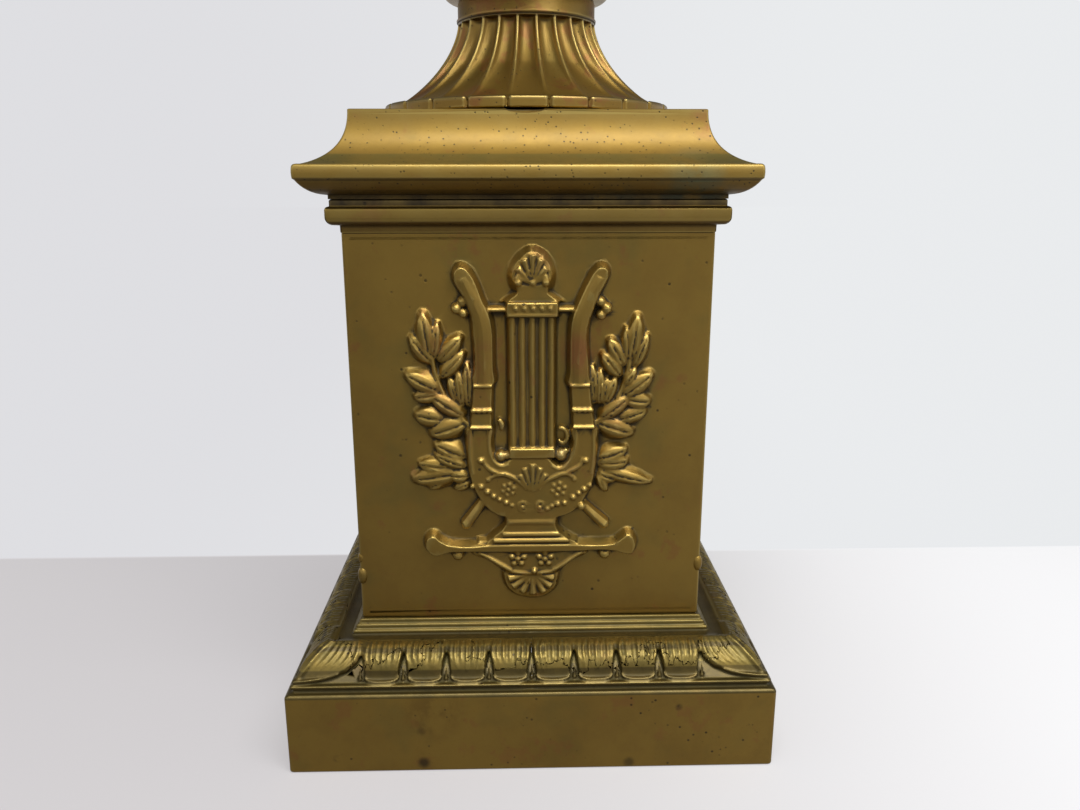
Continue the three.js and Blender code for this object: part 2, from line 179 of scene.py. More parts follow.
def curveThrough(start, end, bulge, steps):
    # points of a shallow curve, standing off its chord to the right of its travel
    across, up = end[0] - start[0], end[1] - start[1]
    length = math.hypot(across, up)
    points = []
    for i in range(steps + 1):
        t = i / steps
        off = bulge * 4 * t * (1 - t) / length
        points.append((start[0] + across * t + up * off, start[1] + up * t - across * off))
    return points


def pushAlong(piece, weights, depth, direction="NORMAL"):
    # moves each vertex along its normal, or along an axis, by its weight
    group = piece.vertex_groups.new(name="push")
    levels = np.round(np.clip(weights, 0, 1) * 250).astype(int)
    order = np.argsort(levels, kind="stable")
    edges = np.searchsorted(levels[order], np.arange(252))
    for level in range(1, 251):
        members = order[edges[level]:edges[level + 1]]
        if len(members):
            group.add(members.tolist(), level / 250, "REPLACE")
    addModifier(piece, "DISPLACE", strength=depth * mm, mid_level=0, vertex_group="push", direction=direction)
    piece.vertex_groups.clear()


def places(piece):
    # the vertices' places, in millimetres
    found = np.empty(len(piece.data.vertices) * 3, np.float32)
    piece.data.vertices.foreach_get("co", found)
    return found.reshape(-1, 3) / mm


def settle(piece, body="root"):
    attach(piece, body)


# Paint: sums on a Signal add their nodes

class Signal:
    def __init__(self, paint, socket):
        self.paint = paint
        self.socket = socket

    def sum(self, operation, first, second):
        return self.paint.node("Math", {"operation": operation}, {0: first, 1: second})

    def __add__(self, other):
        return self.sum("ADD", self, other)

    def __radd__(self, other):
        return self.sum("ADD", other, self)

    def __sub__(self, other):
        return self.sum("SUBTRACT", self, other)

    def __rsub__(self, other):
        return self.sum("SUBTRACT", other, self)

    def __mul__(self, other):
        return self.sum("MULTIPLY", self, other)

    def __rmul__(self, other):
        return self.sum("MULTIPLY", other, self)


class Paint:
    def __init__(self, tree):
        self.tree = tree
        tree.nodes.clear()

    def node(self, kind, settings=None, inputs=None, output=0):
        made = self.tree.nodes.new("ShaderNode" + kind)
        for name, value in (settings or {}).items():
            if name == "stops":
                for i, (place, colour) in enumerate(value):
                    stop = made.color_ramp.elements[i] if i < 2 else made.color_ramp.elements.new(place)
                    stop.position = place
                    stop.color = colour
            else:
                setattr(made, name, value)
        for name, value in (inputs or {}).items():
            if isinstance(value, Signal):
                self.tree.links.new(value.socket, made.inputs[name])
            else:
                made.inputs[name].default_value = value
        return Signal(self, made.outputs[output]) if made.outputs else None

    def spots(self):
        return self.node("TexCoord", output="Object")

    def grain(self, size, detail=3, roughness=0.55, stretch=(1, 1, 1), shift=(0, 0, 0)):
        # noise whose patches are about this many millimetres across
        moved = self.node("Mapping", {}, {"Vector": self.spots(), "Scale": stretch, "Location": shift})
        settings = {"Vector": moved, "Scale": 1000 / size, "Detail": detail, "Roughness": roughness}
        return self.node("TexNoise", {}, settings)

    def step(self, value, low, high, first=0.0, last=1.0):
        inputs = {"Value": value, "From Min": low, "From Max": high, "To Min": first, "To Max": last}
        return self.node("MapRange", {"interpolation_type": "SMOOTHSTEP"}, inputs)

    def blend(self, share, first, second):
        return self.node("Mix", {"data_type": "RGBA"}, {0: share, 6: first, 7: second}, output=2)

    def mark(self, name):
        return self.node("Attribute", {"attribute_name": name}, {}, output="Fac")

    def axis(self, name):
        return self.node("SeparateXYZ", {}, {0: self.spots()}, output=name)

    def around(self, place, radius):
        # 1 near a place given in millimetres, fading to nothing at the radius
        place = [value * mm for value in place]
        away = self.node("VectorMath", {"operation": "DISTANCE"}, {0: self.spots(), 1: place}, output="Value")
        return 1 - self.step(away, radius * 0.3 * mm, radius * mm)

    def between(self, low, high, soft=0.4):
        # 1 between two heights given in millimetres
        height = self.axis("Z")
        below = self.step(height, (low - soft) * mm, low * mm)
        return below - self.step(height, high * mm, (high + soft) * mm)


def hollowsOf(piece, near=2, far=14):
    # how hollow the metal is at each point, close up and over a few millimetres
    mesh = piece.data
    count = len(mesh.vertices)
    spots = places(piece)
    normals = np.empty(count * 3, np.float32)
    mesh.vertices.foreach_get("normal", normals)
    normals = normals.reshape(-1, 3)
    ends = np.empty(len(mesh.edges) * 2, np.int32)
    mesh.edges.foreach_get("vertices", ends)
    first, second = ends.reshape(-1, 2).T
    step = spots[second] - spots[first]
    length = np.maximum((step ** 2).sum(1), 1e-4)
    bend = np.bincount(first, (step * normals[first]).sum(1) / length, count)
    bend -= np.bincount(second, (step * normals[second]).sum(1) / length, count)
    around = np.bincount(first, minlength=count) + np.bincount(second, minlength=count)
    around = np.maximum(around, 1)
    value = np.clip(2 * bend / around, -4, 4)
    found = []
    for rounds in (near, far):
        for _ in range(rounds):
            total = np.bincount(first, value[second], count) + np.bincount(second, value[first], count)
            value = 0.5 * value + 0.5 * total / around
        found.append(value)
    return found


def noteHollows(piece, found):
    # kept on the mesh for the paint
    for name, value in zip(("hollowNear", "hollowFar"), found):
        note = piece.data.attributes.get(name) or piece.data.attributes.new(name, "FLOAT", "POINT")
        note.data.foreach_set("value", value.astype(np.float32))


def keepOuterSkin(piece, test):
    # casting leaves closed skins inside: only what hangs together with the tested vertices stays
    choose(piece, test)
    bpy.ops.mesh.select_linked()
    bpy.ops.mesh.select_all(action="INVERT")
    bpy.ops.mesh.delete(type="VERT")
    bpy.ops.object.mode_set(mode="OBJECT")


def thinOut(piece, triangles, longest):
    # fewer triangles where it is flat, none longer than asked, with the hollows of the full mesh
    found = hollowsOf(piece)
    spots = places(piece)
    addModifier(piece, "DECIMATE", ratio=min(1, triangles / (2 * len(piece.data.polygons))))
    for _ in range(5):
        makeActive(piece)
        ends = np.empty(len(piece.data.edges) * 2, np.int32)
        piece.data.edges.foreach_get("vertices", ends)
        first, second = ends.reshape(-1, 2).T
        now = places(piece)
        long = np.linalg.norm(now[first] - now[second], axis=1) > longest
        if not long.any():
            break
        bpy.ops.object.mode_set(mode="EDIT")
        bpy.ops.mesh.select_mode(type="EDGE")
        bpy.ops.mesh.select_all(action="DESELECT")
        bpy.ops.object.mode_set(mode="OBJECT")
        piece.data.edges.foreach_set("select", long)
        bpy.ops.object.mode_set(mode="EDIT")
        bpy.ops.mesh.subdivide(number_cuts=1)
        bpy.ops.object.mode_set(mode="OBJECT")
    tree = KDTree(len(spots))
    for i, spot in enumerate(spots):
        tree.insert(spot, i)
    tree.balance()
    nearest = np.array([tree.find(spot)[1] for spot in places(piece)])
    noteHollows(piece, [value[nearest] for value in found])


brass = {
    "metal": (0.29, 0.182, 0.033, 1),
    "bright": (0.52, 0.4, 0.12, 1),
    "brown": (0.15, 0.082, 0.015, 1),
    "olive": (0.15, 0.125, 0.032, 1),
    # the darkest colour: soot stains and pits, and painted shade in hollows and in the dark bands
    "nearBlackGrimeAndShade": (0.035, 0.024, 0.01, 1),
    "copper": (0.26, 0.1, 0.032, 1),
    "verdigris": (0.1, 0.17, 0.11, 1),
    "chalk": (0.4, 0.38, 0.26, 1),
    "coat": 0.28,
    "coatRoughness": 0.34,
}


def antiqueBrass(name, look):
    # look: how much copper, olive and pitting this piece shows, the stains that it has in known places, and bands at
    # set heights darkened with grime and painted shade
    material = bpy.data.materials.new(name)
    material.use_nodes = True
    paint = Paint(material.node_tree)
    clouds = paint.grain(38, 4)
    mottle = paint.grain(7, 5, 0.6)
    speck = paint.grain(0.9, 3, 0.6)
    near, far = paint.mark("hollowNear"), paint.mark("hollowFar")
    worn = paint.step(near * -1 + (mottle - 0.5) * 0.5, 0.15, 0.8)
    # hollows are darkened by grime, and by painted shade where the hollows would lie in shadow
    hollowGrimeAndShade = paint.step(near + far * 0.6 + (mottle - 0.5) * 0.35, 0.25, 1.2)
    tarnish = paint.step(clouds + (mottle - 0.5) * 0.5, 0.3, 0.75)
    colour = paint.blend(tarnish * 0.4, brass["metal"], brass["brown"])
    green = paint.step(paint.grain(23, 3, 0.6, shift=(0.3, 0.1, 0.2)) + far * 0.3, 0.5, 0.72)
    colour = paint.blend(green * look["olive"], colour, brass["olive"])
    red = paint.grain(13, 4, 0.65, shift=(0.7, 0.2, 0.5)) - near * 0.04
    red = paint.step(red, look["copperFrom"], look["copperFrom"] + 0.09)
    colour = paint.blend(red * look["copper"], colour, brass["copper"])
    patchy = paint.step(mottle, 0.34, 0.58)
    for place, radius, kind, share in look.get("stains", ()):
        colour = paint.blend(paint.around(place, radius) * patchy * share, colour, brass[kind])
    colour = paint.blend(worn * look["worn"], colour, brass["bright"])
    colour = paint.blend(hollowGrimeAndShade * look["hollowGrimeAndShade"], colour, brass["nearBlackGrimeAndShade"])
    # bands at set heights are darkened: grime in joints, and painted shade under overhanging mouldings, in creases and
    # in grooves
    for low, high, kind, share in look.get("bandsOfGrimeAndShade", ()):
        colour = paint.blend(paint.between(low, high) * (0.5 + mottle) * share, colour, brass[kind])
    colour = paint.blend(paint.step(speck, 0.62, 0.8) * 0.35, colour, brass["brown"])
    settings = {"Vector": paint.spots(), "Scale": 1000 / look["pitSpacing"]}
    pitField = paint.node("TexVoronoi", {}, settings, output="Distance")
    pitPick = paint.grain(9, 2, 0.5, shift=(0.1, 0.9, 0.4))
    pits = (1 - paint.step(pitField, 0.09, 0.2)) * paint.step(pitPick, look["pitFrom"], look["pitFrom"] + 0.1)
    if "pitted" in look:
        fine = paint.node("TexVoronoi", {}, {"Vector": paint.spots(), "Scale": 1000 / 1.1}, output="Distance")
        fine = 1 - paint.step(fine, 0.3, 0.42)
        for place, radius in look["pitted"]:
            pits = paint.node("Math", {"operation": "MAXIMUM"}, {0: pits, 1: fine * paint.around(place, radius)})
    colour = paint.blend(pits * 0.85, colour, brass["nearBlackGrimeAndShade"])
    rough = look["roughness"] + hollowGrimeAndShade * 0.25 + (mottle - 0.5) * 0.16 - worn * 0.08 + (speck - 0.5) * 0.1
    height = mottle * 0.12 + speck * 0.05 + paint.grain(2.4, 3) * 0.07 - pits * 0.6
    relief = paint.node("Bump", {}, {"Strength": 0.35, "Distance": 0.3 * mm, "Height": height})
    shader = paint.node("BsdfPrincipled", {}, {
        "Base Color": colour, "Metallic": 0.94 - hollowGrimeAndShade * 0.3, "Roughness": rough, "Normal": relief,
        "Coat Weight": brass["coat"] - hollowGrimeAndShade * brass["coat"], "Coat Roughness": brass["coatRoughness"]})
    paint.node("OutputMaterial", {}, {"Surface": shader})
    return material


# Casting tools: flat shapes that lie on the XY plane, drawn in millimetres, with their height along Z

def plate(points, rise, flank, lift=0, soft=True):
    # a filled outline with sloping sides; its lower half is sunk in the ground
    bpy.ops.curve.primitive_bezier_circle_add(location=(0, 0, 0))
    piece = bpy.context.object
    curve = piece.data
    curve.splines.clear()
    spline = curve.splines.new("BEZIER" if soft else "POLY")
    if soft:
        spline.bezier_points.add(len(points) - 1)
        for knot, (x, y) in zip(spline.bezier_points, points):
            knot.co = (x * mm, y * mm, 0)
            knot.handle_left_type = knot.handle_right_type = "AUTO"
    else:
        spline.points.add(len(points) - 1)
        for knot, (x, y) in zip(spline.points, points):
            knot.co = (x * mm, y * mm, 0, 1)
    spline.use_cyclic_u = True
    curve.dimensions = "2D"
    curve.fill_mode = "BOTH"
    curve.resolution_u = 5
    curve.bevel_depth = flank * mm
    curve.bevel_resolution = 0
    makeActive(piece)
    bpy.ops.object.convert(target="MESH")
    piece = bpy.context.object
    piece.scale = (1, 1, rise / flank)
    piece.location = (0, 0, lift * mm)
    applyPlace(piece)
    return piece


def rod(points, lift=0, squash=1.0):
    # a round rod through points of (x, y, radius), flattened by squash, its middle at lift
    bpy.ops.curve.primitive_nurbs_path_add(location=(0, 0, 0))
    piece = bpy.context.object
    curve = piece.data
    curve.splines.clear()
    spline = curve.splines.new("BEZIER")
    spline.bezier_points.add(len(points) - 1)
    for knot, (x, y, radius) in zip(spline.bezier_points, points):
        knot.co = (x * mm, y * mm, 0)
        knot.radius = radius
        knot.handle_left_type = knot.handle_right_type = "AUTO"
    curve.dimensions = "3D"
    curve.resolution_u = 6
    curve.bevel_depth = mm
    curve.bevel_resolution = 2
    curve.use_fill_caps = True
    makeActive(piece)
    bpy.ops.object.convert(target="MESH")
    piece = bpy.context.object
    piece.scale = (1, 1, squash)
    piece.location = (0, 0, lift * mm)
    applyPlace(piece)
    return piece


def bead(x, y, radius, lift, squash=1.0):
    bpy.ops.mesh.primitive_uv_sphere_add(segments=12, ring_count=8, radius=radius * mm, location=(x * mm, y * mm, lift * mm))
    piece = bpy.context.object
    piece.scale.z = squash
    applyPlace(piece)
    return piece


# Lyre and laurel panel: every outline is drawn flat as (x, height), then stood up against the die

panel = {
    "ground": 54,                 # the die's faces stand this far out
    "rise": 3.4,
    "flank": 1.1,                 # how far the sides spread down to the ground
    "lean": 0.18,                 # the feet of the castings lie a little higher than their faces
    "drawnFrom": (-3.5, 177.2),   # the outlines are drawn at the ground, as seen from this point
    "drawnScale": 0.9867,
    "voxel": 0.3,
    "triangles": 26500,
    "halfWidth": 50.4,
    "bottom": 44.3,
    "top": 160.5,
    "spare": 6,                   # cast this much wider than it is trimmed to
}

armOutlines = [
    [(-16.6, 117.5), (-16.3, 123), (-16.3, 128), (-16.6, 133), (-17, 137.8), (-18.1, 141.5), (-19.4, 144.4),
     (-20.8, 146.8), (-22, 149.2), (-21.9, 151.2), (-21, 152.6), (-19.7, 152.8), (-18.4, 152), (-17, 150.2),
     (-15.4, 146.7), (-14.2, 143.3), (-12.9, 140.5), (-11.9, 137.8), (-11.3, 134.5), (-11.2, 129), (-11.2, 123),
     (-11.4, 117.5)],
    [(12, 117.2), (12.2, 121), (12.2, 125), (12.2, 130), (12.4, 135), (13, 138.3), (14.3, 141.6), (15.9, 145.4),
     (17.8, 149.2), (19.2, 151.5), (20.7, 152.7), (22.2, 152.5), (23, 150.9), (22.2, 148.4), (20.4, 145),
     (18.9, 141), (17.6, 137.1), (17, 134), (17, 129.6), (17.3, 125), (17.7, 120), (18, 117.2)],
]

bodyOutline = [
    (-18.9, 104), (-19.2, 100), (-19.1, 95), (-18.7, 90.5), (-17.9, 86.8), (-16.4, 82.9), (-14.4, 79.6),
    (-12.3, 77.2), (-9.8, 75.7), (-7, 75), (-4, 75), (-1.6, 75.8), (0.4, 77), (2.6, 75.6), (5.5, 74.8), (9.2, 75.2),
    (13.2, 76.9), (15.8, 79.8), (17.6, 82.8), (19, 86), (19.8, 90), (20.3, 95), (20.3, 100), (20.1, 104),
    (13.5, 104), (13.4, 99), (12.7, 96), (11.4, 93), (9.3, 91.5), (7.2, 92.3), (5.6, 93.9), (3.5, 94.3),
    (0.6, 94.3), (-3.5, 94.5), (-5.3, 94.3), (-7.2, 92.9), (-9, 92.4), (-10.8, 93.6), (-11.7, 96.5), (-12, 100),
    (-12, 104),
]

plaqueOutline = [
    (-3.9, 146.4), (-4.9, 148.6), (-4.9, 151.3), (-3.7, 153.9), (-1.5, 156.1), (0.9, 157.2), (3.4, 156.1),
    (5.3, 154), (6.3, 151.4), (6.3, 148.7), (5.2, 146.4),
]

pedestalOutline = [
    (-7, 75.4), (-7.5, 72.7), (-8.8, 70.6), (-12, 68), (-13.6, 66), (-14, 64.6), (15, 64.6), (14.7, 66),
    (12.3, 67.4), (9.4, 69.4), (7.9, 71.6), (7.5, 75.4),
]

crossbarOutline = [
    (-25, 65.7), (-28.4, 67.2), (-30.6, 68.9), (-32.2, 68), (-32.8, 66), (-32.2, 63.9), (-30, 62.4), (-27.8, 63),
    (-25.5, 63.6), (-12, 63.7), (0, 63.7), (13, 63.7), (26.5, 63.7), (29.5, 62.8), (31.8, 62.5), (33, 64.4),
    (32.7, 67), (31, 68.9), (29.2, 67.8), (27.2, 66.3), (25.3, 65.7), (13, 65.7), (0, 65.7), (-12, 65.7),
]

pendantOutline = [
    (-18.3, 63.6), (-13, 60.2), (-8.8, 57), (-6.5, 55.6), (7.5, 55.6), (9.5, 57), (12.7, 59.9), (17.8, 63.4), (0, 64),
]

shellOutline = [
    (-8, 55.6), (-8, 53), (-6.8, 50.2), (-4.4, 48.2), (-1.4, 47.2), (2.3, 47.1), (5.4, 48.2), (7.7, 50.5),
    (8.4, 53.3), (8.3, 55.6),
]

# Each leaf is (foot x, foot height, tip x, tip height, half width, lift)
laurelLeaves = [
    (-28.8, 125.5, -27.6, 135.6, 1.7, 0.1), (-30, 126, -31.8, 138.4, 2.4, 0.3), (-29.3, 124, -35.3, 131.6, 2.3, 0),
    (-27.3, 124.5, -20.9, 131.6, 2.3, 0.1), (-26.8, 119.5, -20.2, 126.8, 2.1, 0.2), (-27.5, 115.6, -36.9, 120.4, 2.5, 0.3),
    (-27, 114.4, -34.9, 113.4, 2.2, -0.1), (-22, 111, -24.3, 119.3, 1.4, -0.2), (-20.5, 110.5, -21.7, 121, 1.5, 0),
    (-18.7, 110.5, -18.9, 123, 1.8, -0.1), (-20.2, 107.6, -29.6, 113.8, 2.4, 0.3), (-26.5, 106.4, -34.8, 107.9, 2.7, 0),
    (-19.4, 105.5, -30, 101.9, 2.9, 0.2), (-19.8, 94.3, -28.9, 98.4, 2.6, 0), (-19.9, 91.4, -28.7, 95, 1.9, 0.3),
    (-21, 89.5, -35.6, 87.2, 3, 0.1), (-24, 90.8, -34, 92, 2.3, -0.1), (-19, 88.2, -25, 88.6, 2.2, 0.2),
    (-26, 87.6, -31.5, 84.4, 1.9, -0.2), (-18.5, 86, -23.6, 84, 1.5, -0.3),
    (30.6, 125, 32.3, 137.4, 2.2, 0.3), (29.8, 124.5, 29.1, 134.2, 1.7, 0.1), (31.6, 122.3, 35.3, 131.8, 1.7, 0),
    (28.6, 122.8, 24.2, 130.6, 2.2, 0.1), (27.6, 119.6, 22.2, 126.4, 2.2, 0.2), (28.3, 113.5, 36.8, 120, 2.5, 0.2),
    (28.8, 116.5, 32, 122, 1.2, 0.1), (28.6, 112.4, 36.6, 111.6, 2.5, 0), (19.9, 111, 19, 122.4, 1.5, -0.1),
    (21.3, 111, 21.5, 121.2, 1.4, 0), (22.3, 111, 23.5, 118.9, 1.3, -0.1), (22.9, 111, 26, 119, 1.6, 0.1),
    (21.5, 106.5, 29.9, 112.9, 2.2, 0.3), (27, 106, 35.4, 108.8, 2.3, 0), (20.6, 105.2, 31.4, 101.8, 2.8, 0.2),
    (20.8, 93.4, 29.6, 96.4, 2.2, 0), (21, 92, 30, 92.6, 2.4, 0.2), (21.5, 90, 36.8, 85.9, 2, 0.3),
    (20.8, 88.8, 27, 86.8, 2, 0), (21, 88.5, 23.8, 82.9, 1.4, 0.1),
]

laurelStems = [
    [(-18.8, 104.5, 0.9), (-22, 108, 0.9), (-26, 114, 0.9), (-28.6, 121, 0.8), (-29.4, 127, 0.7)],
    [(19.8, 104.5, 0.9), (23.4, 108, 0.9), (27.4, 114, 0.9), (29.6, 121, 0.8), (30.6, 127, 0.7)],
]

# Beads are (x, height, radius, lift)
panelBeads = [
    (-21.7, 140.5, 1.75, 1.4), (-19.7, 142.6, 1.7, 1.3), (-19.6, 139.1, 1.6, 1.3),
    (23, 140.4, 1.75, 1.4), (21.1, 142.4, 1.6, 1.3), (21.3, 138.4, 1.7, 1.3),
    (-3.4, 148.3, 1.3, 2.2), (4.9, 148.3, 1.3, 2.2), (1, 148.2, 1, 2.2),
    (-4.1, 140.9, 0.8, 3.2), (-1.5, 140.9, 0.8, 3.2), (1.1, 140.9, 0.8, 3.2), (3.7, 140.9, 0.8, 3.2), (6.2, 140.9, 0.8, 3.2),
    (-18, 85.4, 0.8, 2.7), (-15.3, 85.3, 0.95, 2.7), (-13.3, 83.6, 0.95, 2.8), (-11.4, 82.1, 0.85, 2.8),
    (-9.6, 81, 0.75, 2.8), (-7.5, 80, 0.85, 2.8), (-5.7, 79.1, 0.65, 2.8),
    (18.5, 85.5, 0.8, 2.7), (16.75, 84.2, 0.95, 2.7), (15.1, 83, 0.8, 2.8), (13.3, 81.6, 0.95, 2.8), (10.7, 79.7, 0.8, 2.8),
    (8.5, 79.5, 0.9, 2.8), (6.8, 78.8, 0.7, 2.8), (5.4, 77.9, 0.8, 2.7), (16, 78.5, 1.4, 2.2),
    (3, 78.5, 0.6, 3), (-2.4, 78.6, 0.6, 3),
    (-15.2, 93.8, 0.9, 2.8), (17.2, 93.6, 0.9, 2.8), (-13, 87.5, 0.7, 2.8), (13.6, 87.5, 0.7, 2.8),
    (-9, 94.7, 1.8, 1.2), (-7.1, 95, 1.2, 1.6), (9.6, 95, 2, 1.2), (11, 96.4, 1, 1.8),
    (-23, 62, 2.1, 1), (23.6, 62, 2.1, 1),
    (1.2, 56.6, 0.9, 2.6),
]

# Rosettes are (x, height, ring radius, petals, petal radius, lift)
rosettes = [
    (-6.8, 84.3, 1.75, 6, 0.7, 2.7), (8.8, 84.3, 1.95, 6, 0.75, 2.7),
    (-4, 60.8, 2, 5, 0.95, 2.3), (4.6, 60.8, 2, 5, 0.95, 2.3),
]

# Rods are (points of x, height and radius; lift; squash)
panelRods = [
    ([(-13.6, 140.1, 1), (-6, 140.1, 1)], 0.6, 2.1), ([(14.6, 140.1, 1), (7.6, 140.1, 1)], 0.6, 2.1),
    ([(-6.5, 142.1, 0.5), (8.1, 142.1, 0.5)], 3.1, 1), ([(-6.3, 138.8, 0.45), (7.9, 138.8, 0.45)], 3.1, 1),
    ([(-14.3, 80.6, 1.5), (-17.5, 76, 1.8), (-20.2, 72.3, 2), (-21, 71.4, 1.5)], 0.8, 1.3),
    ([(16.4, 78.7, 1.5), (19.8, 75.3, 1.8), (23.3, 72, 2), (24.1, 71.2, 1.5)], 0.8, 1.3),
    ([(-18.2, 103.6, 0.55), (-18.4, 96, 0.55), (-17.7, 89.5, 0.45)], 2.7, 1), ([(19.4, 103.6, 0.55), (19.5, 96, 0.55), (18.9, 89.5, 0.45)], 2.7, 1),
    ([(-12.6, 103.6, 0.45), (-12.6, 98, 0.45), (-11.8, 94.4, 0.4), (-9, 91.7, 0.4), (-6.6, 92.4, 0.4)], 2.7, 1),
    ([(14.1, 103.6, 0.45), (14, 98.5, 0.45), (12.6, 94, 0.4), (9.4, 90.7, 0.4), (6.6, 91.8, 0.4)], 2.7, 1),
    ([(-1.2, 84.3, 0.4), (-3.6, 87, 0.55), (-6.4, 88.8, 0.75), (-9.6, 89.4, 0.7), (-12.6, 88, 0.5)], 2.8, 1),
    ([(-9, 89.4, 0.5), (-12.2, 90.8, 0.7), (-13.9, 92.6, 0.6), (-14.4, 94.4, 0.4)], 2.8, 1),
    ([(2.8, 84.3, 0.4), (5, 86.9, 0.55), (7.8, 88.5, 0.75), (11, 89.5, 0.7), (13.4, 88.2, 0.5)], 2.8, 1),
    ([(10.4, 89.5, 0.5), (13.6, 90.9, 0.7), (15.6, 92.4, 0.6), (16.2, 94.4, 0.4)], 2.8, 1),
    ([(0.7, 83.6, 0.4), (0.7, 90, 0.6), (0.7, 92.4, 0.85)], 2.8, 1),
    ([(1.2, 84, 0.35), (2.4, 88.6, 0.5), (3.2, 91.2, 0.8)], 2.8, 1), ([(0.2, 84, 0.35), (-1, 88.6, 0.5), (-1.8, 91.1, 0.8)], 2.8, 1),
    ([(1.6, 84, 0.35), (3.6, 87.2, 0.5), (4.8, 89.1, 0.75)], 2.8, 1), ([(-0.2, 84, 0.35), (-2.2, 87.2, 0.5), (-3.2, 89, 0.75)], 2.8, 1),
    ([(4.2, 79.3, 0.35), (3.6, 80.1, 0.4), (2.4, 79.9, 0.4), (1.8, 78.6, 0.4), (2.6, 77.3, 0.4), (3.8, 77.2, 0.4)], 2.9, 1),
    ([(-1.2, 79.3, 0.35), (-1.9, 80.1, 0.4), (-3.1, 79.9, 0.4), (-3.7, 78.6, 0.4), (-2.9, 77.3, 0.4), (-1.7, 77.2, 0.4)], 2.9, 1),
    ([(-9.6, 106.4, 0.8), (-8.6, 104.6, 1.1), (-8.8, 102.6, 0.6)], 1.2, 1),
    ([(8.6, 103.4, 0.7), (10.4, 103.2, 0.8), (11.4, 101.6, 0.8), (11.2, 99.6, 0.7), (9.8, 98.6, 0.6), (8.8, 99.8, 0.5)], 1.3, 1.1),
    ([(-13.8, 118, 2.1), (-13.7, 128, 2.2), (-14.2, 136, 2.3), (-16.6, 143, 2.2), (-19.8, 149.8, 1.8)], 3, 0.42),
    ([(14.8, 118, 2.1), (14.7, 128, 2.2), (15.2, 136, 2.3), (17.6, 143, 2.2), (20.8, 149.8, 1.8)], 3, 0.42),
    ([(-7, 73.4, 0.9), (7.4, 73.4, 0.9)], 2.6, 0.8), ([(-8.6, 69.4, 0.75), (9, 69.4, 0.75)], 2.9, 0.9), ([(-11.6, 67.3, 0.75), (12, 67.3, 0.75)], 3, 0.9),
    ([(-16.4, 62.9, 0.4), (-12.6, 60.8, 0.7), (-9.4, 58.7, 0.8), (-6.2, 56.8, 0.7)], 2.3, 1),
    ([(16.4, 62.8, 0.4), (13, 60.7, 0.7), (10, 58.5, 0.8), (7.4, 56.8, 0.7)], 2.3, 1),
    ([(-6.2, 56.3, 0.6), (0.6, 55.6, 0.5), (7.4, 56.3, 0.6)], 2.2, 1),
]

finialPetals = [(0.9, 156.3), (3.5, 154.9), (5, 152.4), (-1.7, 154.9), (-3.5, 152.4), (5.3, 150.2), (-3.9, 150.2)]
shellTips = [(-7, 53.6), (-5.6, 50.9), (-2.6, 49), (0.8, 48.4), (4.1, 49), (6.4, 51), (7.4, 53.8)]
stringPlaces = [-5.3, -2.3, 0.7, 3.7, 6.5]


def makeLaurelLeaf():
    # lies along +X from the origin, 10 long and 2 to each side, with a soft crease along its middle
    outline = [(0, 0), (1.4, 1.2), (3.8, 2), (6.6, 1.8), (8.8, 0.95), (10.4, 0), (8.8, -0.95), (6.6, -1.8), (3.8, -2), (1.4, -1.2)]
    body = plate(outline, 1.5, 0.8)
    bpy.ops.mesh.primitive_uv_sphere_add(segments=24, ring_count=14, radius=mm, location=(5.3 * mm, 0, 1.3 * mm), rotation=(0, math.pi / 2, 0))
    crown = bpy.context.object
    applyPlace(crown)
    bpy.ops.object.mode_set(mode="EDIT")
    bpy.ops.transform.resize(value=(4.9, 2, 1.6), center_override=(5.3 * mm, 0, 1.3 * mm))
    choose(crown, lambda spot: abs(spot.y) < 0.32 and spot.z > 1.9 and spot.x < 9.2)
    bpy.ops.transform.translate(value=(0, 0, -0.6 * mm))
    bpy.ops.object.mode_set(mode="OBJECT")
    return joinPieces([body, crown], "laurelLeaf")


